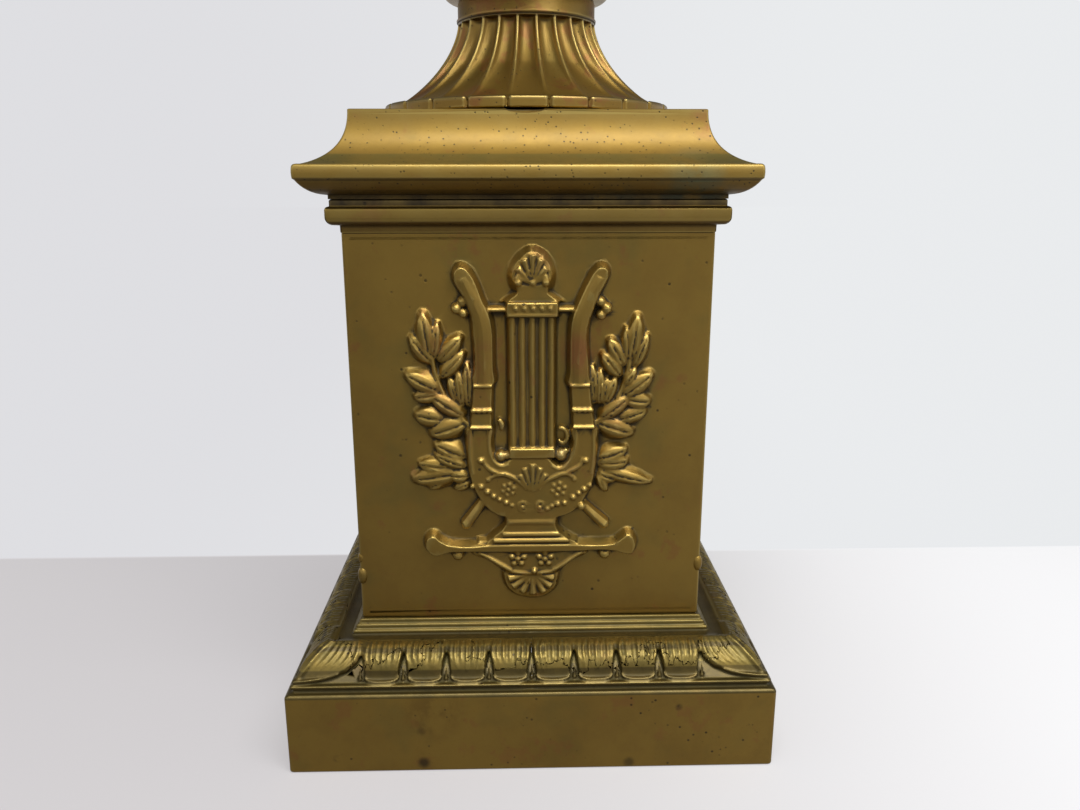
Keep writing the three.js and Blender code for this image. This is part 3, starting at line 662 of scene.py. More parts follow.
def makePanel():
    rise, flank = panel["rise"], panel["flank"]
    chance = np.random.default_rng(4)
    parts = [plate(outline, rise, flank) for outline in armOutlines]
    parts.append(plate(bodyOutline, rise - 0.6, flank))
    parts.append(plate(plaqueOutline, rise - 1.1, 1.6))
    parts.append(plate([(-6.2, 142.9), (-3.4, 145), (-3.6, 147.4), (5.4, 147.4), (5.2, 145), (8, 142.9)], rise - 0.9, 1, soft=False))
    parts.append(plate([(-6.7, 138.2), (-6.7, 142.4), (8.3, 142.4), (8.3, 138.2)], rise - 0.1, 0.8, soft=False))
    parts.append(plate([(-6.2, 94.6), (-6.2, 97.5), (7.4, 97.5), (7.4, 94.6)], rise - 0.1, 0.8, soft=False))
    parts.append(plate([(-6.5, 96), (-6.5, 139), (7.7, 139), (7.7, 96)], 1.75, 0.5, soft=False))
    parts.append(plate(pedestalOutline, rise - 0.5, flank))
    parts.append(plate(crossbarOutline, rise, flank))
    parts.append(plate(pendantOutline, rise - 1.2, 0.9))
    parts.append(plate(shellOutline, rise - 1.5, 1))
    for side, centre, drift in ((-1, -14.2, -0.7), (1, 15.2, 1.2)):      # sleeves where the arms meet the body
        parts.append(plate([(centre - 2.7, 117.4), (centre + 2.7, 117.4), (centre + drift + 3, 104.6), (centre + drift - 3, 104.6)], rise + 0.1, 0.8, soft=False))
        for share, half, thick in ((0, 2.9, 0.55), (0.58, 3.4, 0.6), (1, 3.4, 0.6)):
            middle, height = centre + drift * share, 117.6 - 13 * share
            parts.append(rod([(middle - half, height, thick), (middle + half, height, thick)], rise + 0.1, 1.3))
        for step in (-2.5, -0.9, 0.8, 2.4):
            parts.append(bead(centre + drift * 0.58 + step, 110, 0.75, rise + 0.3))
    for x in stringPlaces:
        wobble = chance.uniform(-0.07, 0.07, 7)
        parts.append(rod([(x + w, 97 + 6.93 * i, 1.1 - w) for i, w in enumerate(wobble)], 1.35, 1.15))
    for x, height in finialPetals:
        parts.append(rod([(0.8, 148, 0.4), (0.4 * 0.8 + 0.6 * x, 0.4 * 148 + 0.6 * height, 0.7), (x, height, 1.0)], 2.3, 1))
    for x, height in shellTips:
        parts.append(rod([(0.6, 55.4, 0.4), (0.5 * 0.6 + 0.5 * x, 0.5 * 55.4 + 0.5 * height, 0.85), (x, height, 1.35)], 1.7, 1.1))
    for points, lift, squash in panelRods:
        parts.append(rod(points, lift, squash))
    for points in laurelStems:
        parts.append(rod(points, 0.9, 1.3))
    for x, height, radius, lift in panelBeads:
        parts.append(bead(x, height, radius, lift, 1.15))
    for x, height, ring, petals, radius, lift in rosettes:
        parts.append(bead(x, height, radius * 0.9, lift + 0.2))
        for i in range(petals):
            turn = 2 * math.pi * i / petals + 0.3
            parts.append(bead(x + ring * math.cos(turn), height + ring * math.sin(turn), radius, lift))
    leaf = makeLaurelLeaf()
    for x, height, tipX, tipHeight, half, lift in laurelLeaves:
        twin = copyOf(leaf)
        length = math.hypot(tipX - x, tipHeight - height)
        twin.scale = (length / 10, half * 1.08 / 2, 1)
        twin.rotation_euler.z = math.atan2(tipHeight - height, tipX - x)
        twin.location = (x * mm, height * mm, lift * mm)
        applyPlace(twin)
        parts.append(twin)
    bpy.data.objects.remove(leaf)
    piece = joinPieces(parts, "lyrePanel")
    print("panel drawn:", len(parts), "castings")

    spots = places(piece)
    spots[:, 1] += panel["lean"] * (rise - spots[:, 2])
    eyeX, eyeHeight = panel["drawnFrom"]
    spots[:, 0] = eyeX + (spots[:, 0] - eyeX) * panel["drawnScale"]
    spots[:, 1] = eyeHeight + (spots[:, 1] - eyeHeight) * panel["drawnScale"]
    piece.data.vertices.foreach_set("co", (spots * mm).ravel())

    width, middle = panel["halfWidth"] + panel["spare"], (panel["bottom"] + panel["top"]) / 2
    bpy.ops.mesh.primitive_cube_add(size=1, location=(0, middle * mm, -1.5 * mm))
    slab = bpy.context.object
    slab.scale = (2 * width * mm, (panel["top"] - panel["bottom"] + 2 * panel["spare"]) * mm, 3 * mm)
    applyPlace(slab)
    piece = joinPieces([slab, piece], "lyrePanel")
    addModifier(piece, "REMESH", mode="VOXEL", voxel_size=panel["voxel"] * mm)
    keepOuterSkin(piece, lambda spot: spot.z < -2.5)
    print("panel cast:", len(piece.data.polygons), "faces")
    return piece


# Plinth die: an upright whose four faces each carry the lyre panel, and a rounded band at its head

die = {
    "half": 54,
    "foot": 41.5,
    "filletFoot": 163.3,          # a thin fillet runs under the band
    "bandFoot": 165.55,
    "bandReach": 3.8,
    "top": 172.35,
    "corner": 0.8,
    "margin": 1.6,
    "lumps": [(-53.2, 56, 1.7), (53.3, 59, 1.6), (-53.4, 62, 1.1)],       # casting flash on the front arrises
}


def makeDie():
    panelPiece = makePanel()
    addModifier(panelPiece, "SMOOTH", factor=0.5, iterations=3)
    thinOut(panelPiece, panel["triangles"], 3)
    wide, low, high = panel["halfWidth"], panel["bottom"], panel["top"]
    cuts = (((0, 0, -0.8), (0, 0, -1)), ((wide, 0, 0), (1, 0, 0)), ((-wide, 0, 0), (-1, 0, 0)), ((0, low, 0), (0, -1, 0)), ((0, high, 0), (0, 1, 0)))
    makeActive(panelPiece)
    bpy.ops.object.mode_set(mode="EDIT")
    for point, normal in cuts:
        bpy.ops.mesh.select_all(action="SELECT")
        bpy.ops.mesh.bisect(plane_co=[p * mm for p in point], plane_no=normal, clear_outer=True)
    bpy.ops.object.mode_set(mode="OBJECT")
    choose(panelPiece, lambda spot: abs(spot.x) > wide - 2 or spot.y < low + 2 or spot.y > high - 2)
    bpy.ops.transform.resize(value=(1, 1, 0), center_override=(0, 0, 0))
    bpy.ops.object.mode_set(mode="OBJECT")
    print("panel trimmed:", len(panelPiece.data.polygons), "faces")

    edge = die["half"] - die["corner"] - die["margin"]
    bottom, top = die["foot"] + die["margin"], die["filletFoot"] - die["margin"]
    bpy.ops.mesh.primitive_plane_add(size=1, location=(0, (bottom + top) / 2 * mm, 0))
    border = bpy.context.object
    border.scale = (2 * edge * mm, (top - bottom) * mm, 1)
    applyPlace(border)
    bpy.ops.object.mode_set(mode="EDIT")
    bpy.ops.mesh.delete(type="ONLY_FACE")
    bpy.ops.object.mode_set(mode="OBJECT")
    panelPiece = joinPieces([panelPiece, border], "lyrePanel")
    makeActive(panelPiece)
    bpy.ops.object.mode_set(mode="EDIT")
    bpy.ops.mesh.select_all(action="DESELECT")
    bpy.ops.mesh.select_mode(type="EDGE")
    bpy.ops.mesh.select_non_manifold(extend=False, use_boundary=True, use_wire=True, use_multi_face=False, use_non_contiguous=False, use_verts=False)
    bpy.ops.mesh.fill()
    bpy.ops.object.mode_set(mode="OBJECT")
    panelPiece.rotation_euler.x = math.pi / 2
    panelPiece.location.y = -die["half"] * mm
    applyPlace(panelPiece)
    sides = quarterTurns(panelPiece)

    half = die["half"]
    bpy.ops.mesh.primitive_cube_add(size=1, location=(0, 0, (die["foot"] + die["filletFoot"]) / 2 * mm))
    upright = bpy.context.object
    upright.scale = (2 * half * mm, 2 * half * mm, (die["filletFoot"] - die["foot"]) * mm)
    applyPlace(upright)
    choose(upright, lambda centre, normal: abs(normal.z) > 0.5, "FACE")
    bpy.ops.object.mode_set(mode="OBJECT")
    for edgeLine in upright.data.edges:
        a, b = (upright.data.vertices[i].co for i in edgeLine.vertices)
        edgeLine.select = abs(a.z - b.z) > mm
    bpy.ops.object.mode_set(mode="EDIT")
    bpy.ops.mesh.select_mode(type="EDGE")
    bpy.ops.mesh.bevel(offset=die["corner"] * mm, segments=4)
    choose(upright, lambda centre, normal: abs(normal.z) < 0.5 and max(abs(normal.x), abs(normal.y)) > 0.999, "FACE")
    bpy.ops.mesh.inset(thickness=die["margin"] * mm, use_individual=True)
    bpy.ops.mesh.delete(type="FACE")
    choose(upright, lambda centre, normal: normal.z > 0.5, "FACE")
    height = die["filletFoot"]
    scale = half
    foot0, brow = die["bandFoot"], half + die["bandReach"]
    band = [(half + 0.1, height + 0.1), (half + 0.25, height + 0.3), (half + 0.3, foot0 - 0.1)]
    band += [(brow - 2.2 + 2.2 * math.sin(a), foot0 + 2.2 - 2.2 * math.cos(a)) for a in np.linspace(0.3, math.pi / 2, 7)]
    band += [(brow, foot0 + 4.3), (brow - 0.15, foot0 + 4.75), (brow - 0.6, foot0 + 5), (half + 2.7, foot0 + 5.1)]
    band += [(half + 2.6, foot0 + 5.5), (half + 2.6, die["top"])]
    for nextHalf, nextHeight in band:
        bpy.ops.mesh.extrude_region_move(TRANSFORM_OT_translate={"value": (0, 0, (nextHeight - height) * mm)})
        bpy.ops.transform.resize(value=(nextHalf / scale, nextHalf / scale, 1), center_override=(0, 0, 0))
        scale, height = nextHalf, nextHeight
    bpy.ops.object.mode_set(mode="OBJECT")
    lumps = []
    for x, height, reach in die["lumps"]:
        bpy.ops.mesh.primitive_uv_sphere_add(segments=20, ring_count=12, radius=reach * mm, location=(x * mm, -(half - 0.9) * mm, height * mm))
        lump = bpy.context.object
        lump.scale.z = 1.8
        applyPlace(lump)
        lumps.append(lump)
    noteHollows(upright, hollowsOf(upright, 1, 1))
    piece = joinPieces([upright] + sides + lumps, "plinthDie")
    weld(piece, 0.02)
    bpy.ops.object.shade_smooth()
    addModifier(piece, "WEIGHTED_NORMAL", mode="FACE_AREA", weight=90, keep_sharp=True)
    settle(piece)
    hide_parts("plinth_die")
    print("plinth die:", len(piece.data.polygons), "faces")
    return piece


# Plinth base: a block, a slope of hanging leaves and three stepped beads

base = {
    "half": 75,
    "blockTop": 26.6,
    "slopeFoot": (73.5, 27.5),
    "slopeHead": (62, 38),
    "leafLine": [(0, 0), (2.6, 0), (3.4, 0), (4.4, 0.6), (5.6, 1.5), (6.8, 2.1), (8.2, 2.3), (10.2, 2.15),
                 (12.2, 1.75), (13.5, 1.2), (14.4, 0.4), (15.6, -0.4)],       # how far they stand off it, up its length
    "cornerShare": 0.6,
    "drawnLength": 18.3,
    "drawnHead": 59.2,
    "grooveFoot": 37.2,
    "innerHalf": 54,
    "beadHeight": 1.45,
    "top": 41.5,
    "corner": 0.9,
    "leafPitch": 13.1,
    "voxel": 0.32,
    "trianglesPerEighth": 8100,
}


def makeSlopeLeaf(chance):
    # one hanging tongue, drawn flat: the slope's foot is at 0 and its head at 18.3
    half = [(0, 2), (2.8, 2.1), (4.3, 2.8), (4.8, 4.4), (5, 6.6), (5.3, 9), (5.8, 12), (6.3, 15), (6.5, 18.2)]
    outline = [(-x, y) for x, y in reversed(half)] + half[1:]
    parts = [plate(outline, 0.7, 0.4, soft=False)]
    for place in (-5.3, -3.6, -1.9, 0.1, 2, 3.7, 5.3):
        top = place + chance.uniform(-0.3, 0.3)
        radius = chance.uniform(0.36, 0.62)
        foot = chance.uniform(4.6, 8)
        lean = chance.uniform(-0.4, 0.4)
        vein = [(top * 0.94 + lean, 18.2, radius * 0.7), (top, 14, radius), (top * 0.97, 10, radius), (top * 0.8, foot, radius * 0.3)]
        parts.append(rod(vein, chance.uniform(0.6, 0.85), 1.2))
    lip = [(-5.4, 4.4, 0.2), (-4.7, 3, 0.4), (-2.9, 2.3, 0.5), (0, 2.1, 0.52), (2.9, 2.3, 0.5), (4.7, 3, 0.4), (5.4, 4.4, 0.2)]
    parts.append(rod(lip, 0.8, 1.0))
    return joinPieces(parts, "slopeLeaf")


def makeDart():
    return rod([(0, 9, 0.15), (0, 6.8, 0.35), (0, 4.6, 0.5), (0, 2.6, 0.55)], 0.3, 1)


def makeCornerLeaf():
    # half of the leaf that folds over the corner; its midrib lies on the mitre
    edge = [(52.7, 18.6), (52.8, 13.5), (53.8, 9.8), (56.6, 6.6), (61, 4.6), (66, 3.4), (71.2, 2.5)]
    rib = [(59, 18.6), (61.6, 15.2), (64.2, 11.9), (66.6, 8.8), (68.9, 5.9), (70.9, 3.6), (72, 2.2)]
    parts = [plate(edge + [(73.6, 2.2), (68.5, 8.8), (61, 18.6)], 0.8, 0.7, soft=False)]
    for share, radius in ((0.06, 0.42), (0.23, 0.46), (0.4, 0.42), (0.57, 0.46), (0.74, 0.4)):
        vein = []
        for i, (a, b) in enumerate(zip(edge, rib)):
            thin = radius * (1 - 0.11 * i)
            vein.append((a[0] + (b[0] - a[0]) * share, a[1] + (b[1] - a[1]) * share, thin))
        parts.append(rod(vein, 0.8, 1.35))
    parts.append(rod([(x, y, 0.75 - 0.05 * i) for i, (x, y) in enumerate(rib)], 0.9, 1.2))
    parts.append(rod([(58.5, 5, 0.3), (62, 3.8, 0.5), (67, 2.9, 0.6), (72.4, 2.4, 0.6)], 1.1, 1))
    return joinPieces(parts, "cornerLeaf")


def makeBase():
    (footHalf, footHeight), (headHalf, headHeight) = base["slopeFoot"], base["slopeHead"]
    half, inner = base["half"], base["innerHalf"]
    blockTop = base["blockTop"]
    profile = [(half - 0.5, 0), (half, 0.5), (half, blockTop - 0.9), (half - 0.25, blockTop - 0.3), (half - 0.8, blockTop)]
    profile += [(half - 1.9, blockTop + 0.1), (half - 2.3, blockTop + 0.5), (half - 2.3, blockTop + 1)]      # a dark cove
    profile += [(half - 1.9, blockTop + 1.3), (half - 1.45, blockTop + 1.5), (half - 1.4, blockTop + 2.2), (half - 1.8, blockTop + 2.5)]
    profile += curveThrough((footHalf, footHeight), (headHalf, headHeight), 0, 14)[2:-1]
    profile += [(headHalf - 0.3, headHeight - 0.1), (headHalf - 1.2, headHeight - 0.5), (headHalf - 2.4, base["grooveFoot"]), (inner + 3.2, base["grooveFoot"] - 0.1)]
    for i in range(3):
        edge, level = inner + 3 - i, base["grooveFoot"] + base["beadHeight"] * i
        profile += [(edge - 0.45 + 0.45 * math.sin(a), level + 0.72 - 0.68 * math.cos(a)) for a in np.linspace(0.3, math.pi - 0.1, 6)]
    profile += [(inner - 4, base["top"])]
    stack = squareStack("plinthBase", profile, base["corner"])
    mitre = Vector((1, 1, 0)).normalized()
    for point, normal in (((-1.5, 0, 0), (-1, 0, 0)), ((0, -(inner - 3), 0), (0, 1, 0)), (mitre * 1.5, mitre)):
        makeActive(stack)
        bpy.ops.object.mode_set(mode="EDIT")
        bpy.ops.mesh.select_all(action="SELECT")
        bpy.ops.mesh.bisect(plane_co=[p * mm for p in point], plane_no=normal, clear_outer=True, use_fill=True)
        bpy.ops.object.mode_set(mode="OBJECT")

    parts = [makeCornerLeaf()]
    chance = np.random.default_rng(12)
    for i in range(4):
        leaf = makeSlopeLeaf(chance)
        leaf.location.x = (i + 0.5) * base["leafPitch"] * mm
        parts.append(leaf)
    for i in range(5):
        dart = makeDart()
        dart.location.x = i * base["leafPitch"] * mm
        parts.append(dart)
    for part in parts:
        applyPlace(part)
    leaves = joinPieces(parts, "slopeLeaves")
    addModifier(leaves, "REMESH", mode="VOXEL", voxel_size=base["voxel"] * mm)
    spots = places(leaves)
    length = math.hypot(footHalf - headHalf, headHeight - footHeight)
    drawn = spots[:, 1].copy()
    along = np.where(drawn > 3, 3 + (drawn - 3) * (length - 3.4) / (base["drawnLength"] - 3), drawn)
    spots[:, 1] = along
    drawnMitre = footHalf - drawn * (footHalf - base["drawnHead"]) / base["drawnLength"]
    mitreShift = footHalf - along * (footHalf - headHalf) / length - drawnMitre
    spots[:, 0] += mitreShift * np.clip((spots[:, 0] - 51) / (drawnMitre - 51), 0, 1.3)      # the corner leaf keeps to its mitre
    swell = np.interp(along, *zip(*base["leafLine"]))
    corner = np.clip((spots[:, 0] - 51) / 4, 0, 1)
    swell *= 1 - (1 - base["cornerShare"]) * corner
    spots[:, 2] += swell * np.clip((spots[:, 2] + 0.7) / 0.7, 0, 1)                          # the sunk side stays sunk
    leaves.data.vertices.foreach_set("co", (spots * mm).ravel())
    leaves.rotation_euler.x = math.atan2(headHeight - footHeight, footHalf - headHalf)
    leaves.location = (0, -footHalf * mm, footHeight * mm)
    applyPlace(leaves)
    piece = joinPieces([stack, leaves], "plinthBase")
    addModifier(piece, "REMESH", mode="VOXEL", voxel_size=base["voxel"] * mm)
    keepOuterSkin(piece, lambda spot: spot.z < 1)
    addModifier(piece, "SMOOTH", factor=0.5, iterations=2)
    thinOut(piece, 2.2 * base["trianglesPerEighth"], 3.6)
    for point, normal in (((0, 0, 0), (-1, 0, 0)), ((0, -(inner - 1), 0), (0, 1, 0)), ((0, 0, 0), mitre)):
        makeActive(piece)
        bpy.ops.object.mode_set(mode="EDIT")
        bpy.ops.mesh.select_all(action="SELECT")
        bpy.ops.mesh.bisect(plane_co=[p * mm for p in point], plane_no=normal, clear_outer=True)
        bpy.ops.object.mode_set(mode="OBJECT")
    print("one eighth of the base:", len(piece.data.polygons), "faces")
    addModifier(piece, "MIRROR", merge_threshold=0.01 * mm)
    piece = joinPieces(quarterTurns(piece), "plinthBase")
    weld(piece)
    for low, high in ((-1, 1), (base["grooveFoot"], base["top"] + 1)):      # the underside, then the seat
        choose(piece, lambda spot: low < spot.z < high and max(abs(spot.x), abs(spot.y)) < inner - 0.99)
        bpy.ops.mesh.select_mode(type="EDGE")
        bpy.ops.mesh.fill()
        bpy.ops.object.mode_set(mode="OBJECT")
    weld(piece)
    bpy.ops.object.shade_smooth()
    addModifier(piece, "WEIGHTED_NORMAL", mode="FACE_AREA", weight=90, keep_sharp=True)
    settle(piece)
    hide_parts("plinth_base")
    print("plinth base:", len(piece.data.polygons), "faces")
    return piece


# Plinth cap: a neck, a quarter-round, a lip and a hollow sweep

cap = {
    "foot": 172.35,
    "neckHalf": 56.7,
    "roundHead": (64, 177.55),
    "lipFoot": (64.5, 177.95),
    "lipHead": (62.6, 181.85),
    "sweepHollow": 3.4,
    "topHalf": 51,
    "top": 196.95,
    "corner": 0.7,
    "dent": (-1, 11, 1.1),        # a shallow dip in the top's front edge: its place, width and depth
}


def makeCap():
    foot = cap["foot"]
    profile = [(cap["neckHalf"] - 3, foot), (cap["neckHalf"], foot), (cap["neckHalf"], foot + 1.1)]
    profile += curveThrough((57.4, foot + 1.2), cap["roundHead"], 0.9, 8)
    (footHalf, footHeight), (headHalf, headHeight) = cap["lipFoot"], cap["lipHead"]
    profile += curveThrough((footHalf, footHeight), (footHalf, headHeight - 0.85), 0.12, 4)
    profile += [(footHalf - 0.15, headHeight - 0.45), (footHalf - 0.5, headHeight - 0.12), (headHalf + 0.9, headHeight), (headHalf, headHeight)]
    profile += curveThrough((cap["lipHead"][0] - 0.5, cap["lipHead"][1] + 0.1), (cap["topHalf"], cap["top"] - 0.2), -cap["sweepHollow"], 18)[1:]
    profile.append((cap["topHalf"] - 0.3, cap["top"]))
    profile.append((40, cap["top"]))
    piece = squareStack("plinthCap", profile, cap["corner"])
    x, wide, deep = cap["dent"]
    bpy.ops.mesh.primitive_uv_sphere_add(segments=32, ring_count=16, radius=mm, location=(x * mm, -cap["topHalf"] * mm, cap["top"] * mm))
    dent = bpy.context.object
    dent.scale = (wide / 2, 4, deep)
    applyPlace(dent)
    addModifier(piece, "BOOLEAN", object=dent, operation="DIFFERENCE", solver="EXACT")
    bpy.data.objects.remove(dent)
    makeActive(piece)
    bpy.ops.object.shade_smooth_by_angle(angle=math.radians(35))
    settle(piece)
    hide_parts("plinth_cap")
    print("plinth cap:", len(piece.data.polygons), "faces")
    return piece


# Foot: 24 flutes under a plain collar, with a petalled rim

foot = {
    "base": 196.95,
    "rimRadius": 47,
    "rimHeight": 3.4,
    "fluteFoot": 201.45,
    "fluteHead": 226.85,
    "top": 233.35,
    "collarRadius": 22.4,
    "flutes": 24,
    "fluteDepth": 2.3,
    "fluteShare": 0.86,           # the rest is the raised fillet between two flutes
    "petalGap": 1.0,
    "frontGap": 1.1,
    "columnsPerFlute": 26,
}


def footRadius(share):
    drop = (1 - (1 - share) ** 1.6) ** (1 / 1.6)
    return foot["rimRadius"] - (foot["rimRadius"] - foot["collarRadius"]) * drop


def makeFoot():
    base, rim = foot["base"], foot["rimRadius"]
    profile = [(30, base + 0.1), (rim - 0.8, base + 0.1), (rim - 0.2, base + 0.4)]
    profile += [(rim, base + 0.8 + 0.5 * i) for i in range(5)]
    profile += [(rim, base + 3.3), (rim - 0.15, base + 3.8), (rim - 0.55, base + 4.1), (rim - 1, base + 3.9), (rim - 1.4, base + 3.7)]
    rows = 62
    for i in range(rows + 1):
        share = 0.5 - 0.5 * math.cos(math.pi * i / rows)
        height = foot["fluteFoot"] - 0.6 * (1 - share) ** 12 + (foot["fluteHead"] - foot["fluteFoot"]) * share
        profile.append((footRadius(share) - 1.8 * (1 - share) ** 8, height))
    collar = foot["collarRadius"]
    profile += [(collar + 0.35, foot["fluteHead"] + 0.3), (collar + 0.45, foot["fluteHead"] + 0.9), (collar, foot["fluteHead"] + 1.5)]
    profile += [(collar, foot["top"] - 0.6), (collar - 0.5, foot["top"]), (12, foot["top"])]
    piece = spun("urnFoot", profile, foot["flutes"] * foot["columnsPerFlute"])
    spots = places(piece)
    angle = np.degrees(np.arctan2(spots[:, 1], spots[:, 0]))
    across = ((angle + 90) * foot["flutes"] / 360 + 0.5) % 1 * 2 - 1           # -1 and 1 on the fillets, 0 in a flute's middle
    height = spots[:, 2]
    radius = np.hypot(spots[:, 0], spots[:, 1])
    along = np.clip((height - foot["fluteFoot"] + 0.3) / (foot["fluteHead"] - foot["fluteFoot"]), 0, 1)
    flute = np.sqrt(np.clip(1 - (np.abs(across) / foot["fluteShare"]) ** 2, 0, 1))
    head = np.sqrt(np.clip(1 - (np.clip(along - 0.955, 0, 1) / 0.045) ** 2, 0, 1))
    flare = 0.08 + 0.92 * np.clip(along / 0.5, 0, 1) ** 0.8
    inside = (height > base + 3.85) & (radius < rim - 1.2) & (height < foot["fluteHead"] + 0.1)
    pushAlong(piece, np.where(inside, flute * head * flare, 0), -foot["fluteDepth"])
    onRim = (radius > rim - 1.5) & (height > base + 0.3) & (height < base + 4.3)
    notch = np.clip((np.abs(across) - 0.9) / 0.06, 0, 1)
    pushAlong(piece, np.where(onRim, notch, 0), -foot["petalGap"])
    front = np.clip(1 - ((angle + 92) / 34) ** 2, 0, 1)
    pushAlong(piece, np.where(height < base + 0.45, front, 0), foot["frontGap"], "Z")     # the casting doesn't sit down in front
    makeActive(piece)
    bpy.ops.object.shade_smooth()
    settle(piece)
    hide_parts("urn_foot")
    print("urn foot:", len(piece.data.polygons), "faces")
    return piece


# Bowl: seat ring, neck, gadrooned body, waist, bell and moulded rim

bowl = {
    "foot": 233.35,
    "seatRadius": 27,
    "neckRadius": 20,
    "bodyFoot": 245.55,
    "bodyRadius": 61,
    "bodyTop": 287.55,
    "waistRadius": 50,
    "waistTop": 299.55,
    "bellTop": 411.55,
    "flare": 32,
    "curve": 2.3,
    "rimRadius": 88.8,
    "top": 420.55,
    "wall": 4,
    "gadroons": 24,
    "gadroonDepth": 3,
    "columnsPerGadroon": 10,
}


def bellRadius(share):
    return bowl["waistRadius"] + bowl["flare"] * share ** bowl["curve"]


def makeBowl():
    foot0, seat, neck = bowl["foot"], bowl["seatRadius"], bowl["neckRadius"]
    profile = [(12, foot0), (22, foot0), (22.6, foot0 + 0.4)]
    profile += [(seat - 2.6 + 2.6 * math.sin(a), foot0 + 3.1 - 2.5 * math.cos(a)) for a in np.linspace(0.15, math.pi - 0.15, 12)]
    profile += curveThrough((neck + 1.2, foot0 + 6.4), (neck + 1.2, bowl["bodyFoot"] - 0.6), -1.2, 8)
    low, body = bowl["bodyFoot"], bowl["bodyRadius"]
    for i in range(41):
        angle = math.pi / 2 * i / 40
        profile.append((neck + 1.5 + (body - neck - 1.5) * math.sin(angle), low + 37 * (1 - math.cos(angle))))
    top = bowl["bodyTop"]
    profile += [(body - 0.2, top - 3.4), (body - 0.9, top - 1.8), (body - 2.4, top - 0.6), (body - 4, top)]
    profile += curveThrough((body - 5.5, top + 0.2), (bellRadius(0) + 1, top + 5), -1.8, 8)
    profile += [(bellRadius(0) + 1.6, top + 5.6), (bellRadius(0) + 1.9, top + 6.6), (bellRadius(0) + 1.6, top + 7.6), (bellRadius(0) + 0.6, top + 8.2)]
    profile += [(bellRadius(max(0, s)), bowl["waistTop"] + 112 * s) for s in np.linspace(-0.02, 0.985, 40)]
    rim, head = bowl["rimRadius"], bowl["top"]
    profile += [(bellRadius(1) + 0.6, bowl["bellTop"] - 0.6), (bellRadius(1) + 2.2, bowl["bellTop"] + 0.2)]
    profile += [(rim - 4.4 + 4.4 * math.sin(a), bowl["bellTop"] + 4.7 - 3.9 * math.cos(a)) for a in np.linspace(0.35, math.pi - 0.2, 14)]
    profile += [(rim - 3, head - 0.4), (rim - 4.6, head), (bellRadius(1) - 1, head), (bellRadius(1) - 2.4, head - 0.6), (bellRadius(1) - 3.4, head - 2.4)]
    profile += [(bellRadius(s) - bowl["wall"], bowl["waistTop"] + 112 * s) for s in np.linspace(1, 0, 30)]
    inner = body - bowl["gadroonDepth"] - bowl["wall"]
    for i in range(19):
        angle = math.radians(85 - 84 * i / 18)
        profile.append((inner * math.sin(angle), top - 33 * math.cos(angle)))
    piece = spun("urnBowl", profile, bowl["gadroons"] * bowl["columnsPerGadroon"])
    spots = places(piece)
    radius = np.hypot(spots[:, 0], spots[:, 1])
    angle = np.degrees(np.arctan2(spots[:, 1], spots[:, 0]))
    across = ((angle + 90) / (360 / bowl["gadroons"]) + 0.5) % 1 * 2 - 1
    along = np.clip((spots[:, 2] - low) / 37, 0, 1)
    outside = radius > inner + 1.5 - 40 * (1 - along)
    outerCurve = neck + 1.5 + (body - neck - 1.5) * np.sqrt(np.clip(1 - (1 - along) ** 2, 0, 1))
    onBody = (np.abs(radius - outerCurve) < 1.2) & (along > 0) & (along < 1)
    groove = np.abs(across) ** 4 * np.sin(math.pi * np.clip(0.12 + 0.8 * along, 0, 1)) ** 0.8
    pushAlong(piece, np.where(onBody, groove, 0), -bowl["gadroonDepth"])
    makeActive(piece)
    bpy.ops.object.shade_smooth()
    settle(piece)
    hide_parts("urn_bowl")
    print("urn bowl:", len(piece.data.polygons), "faces")
    return piece


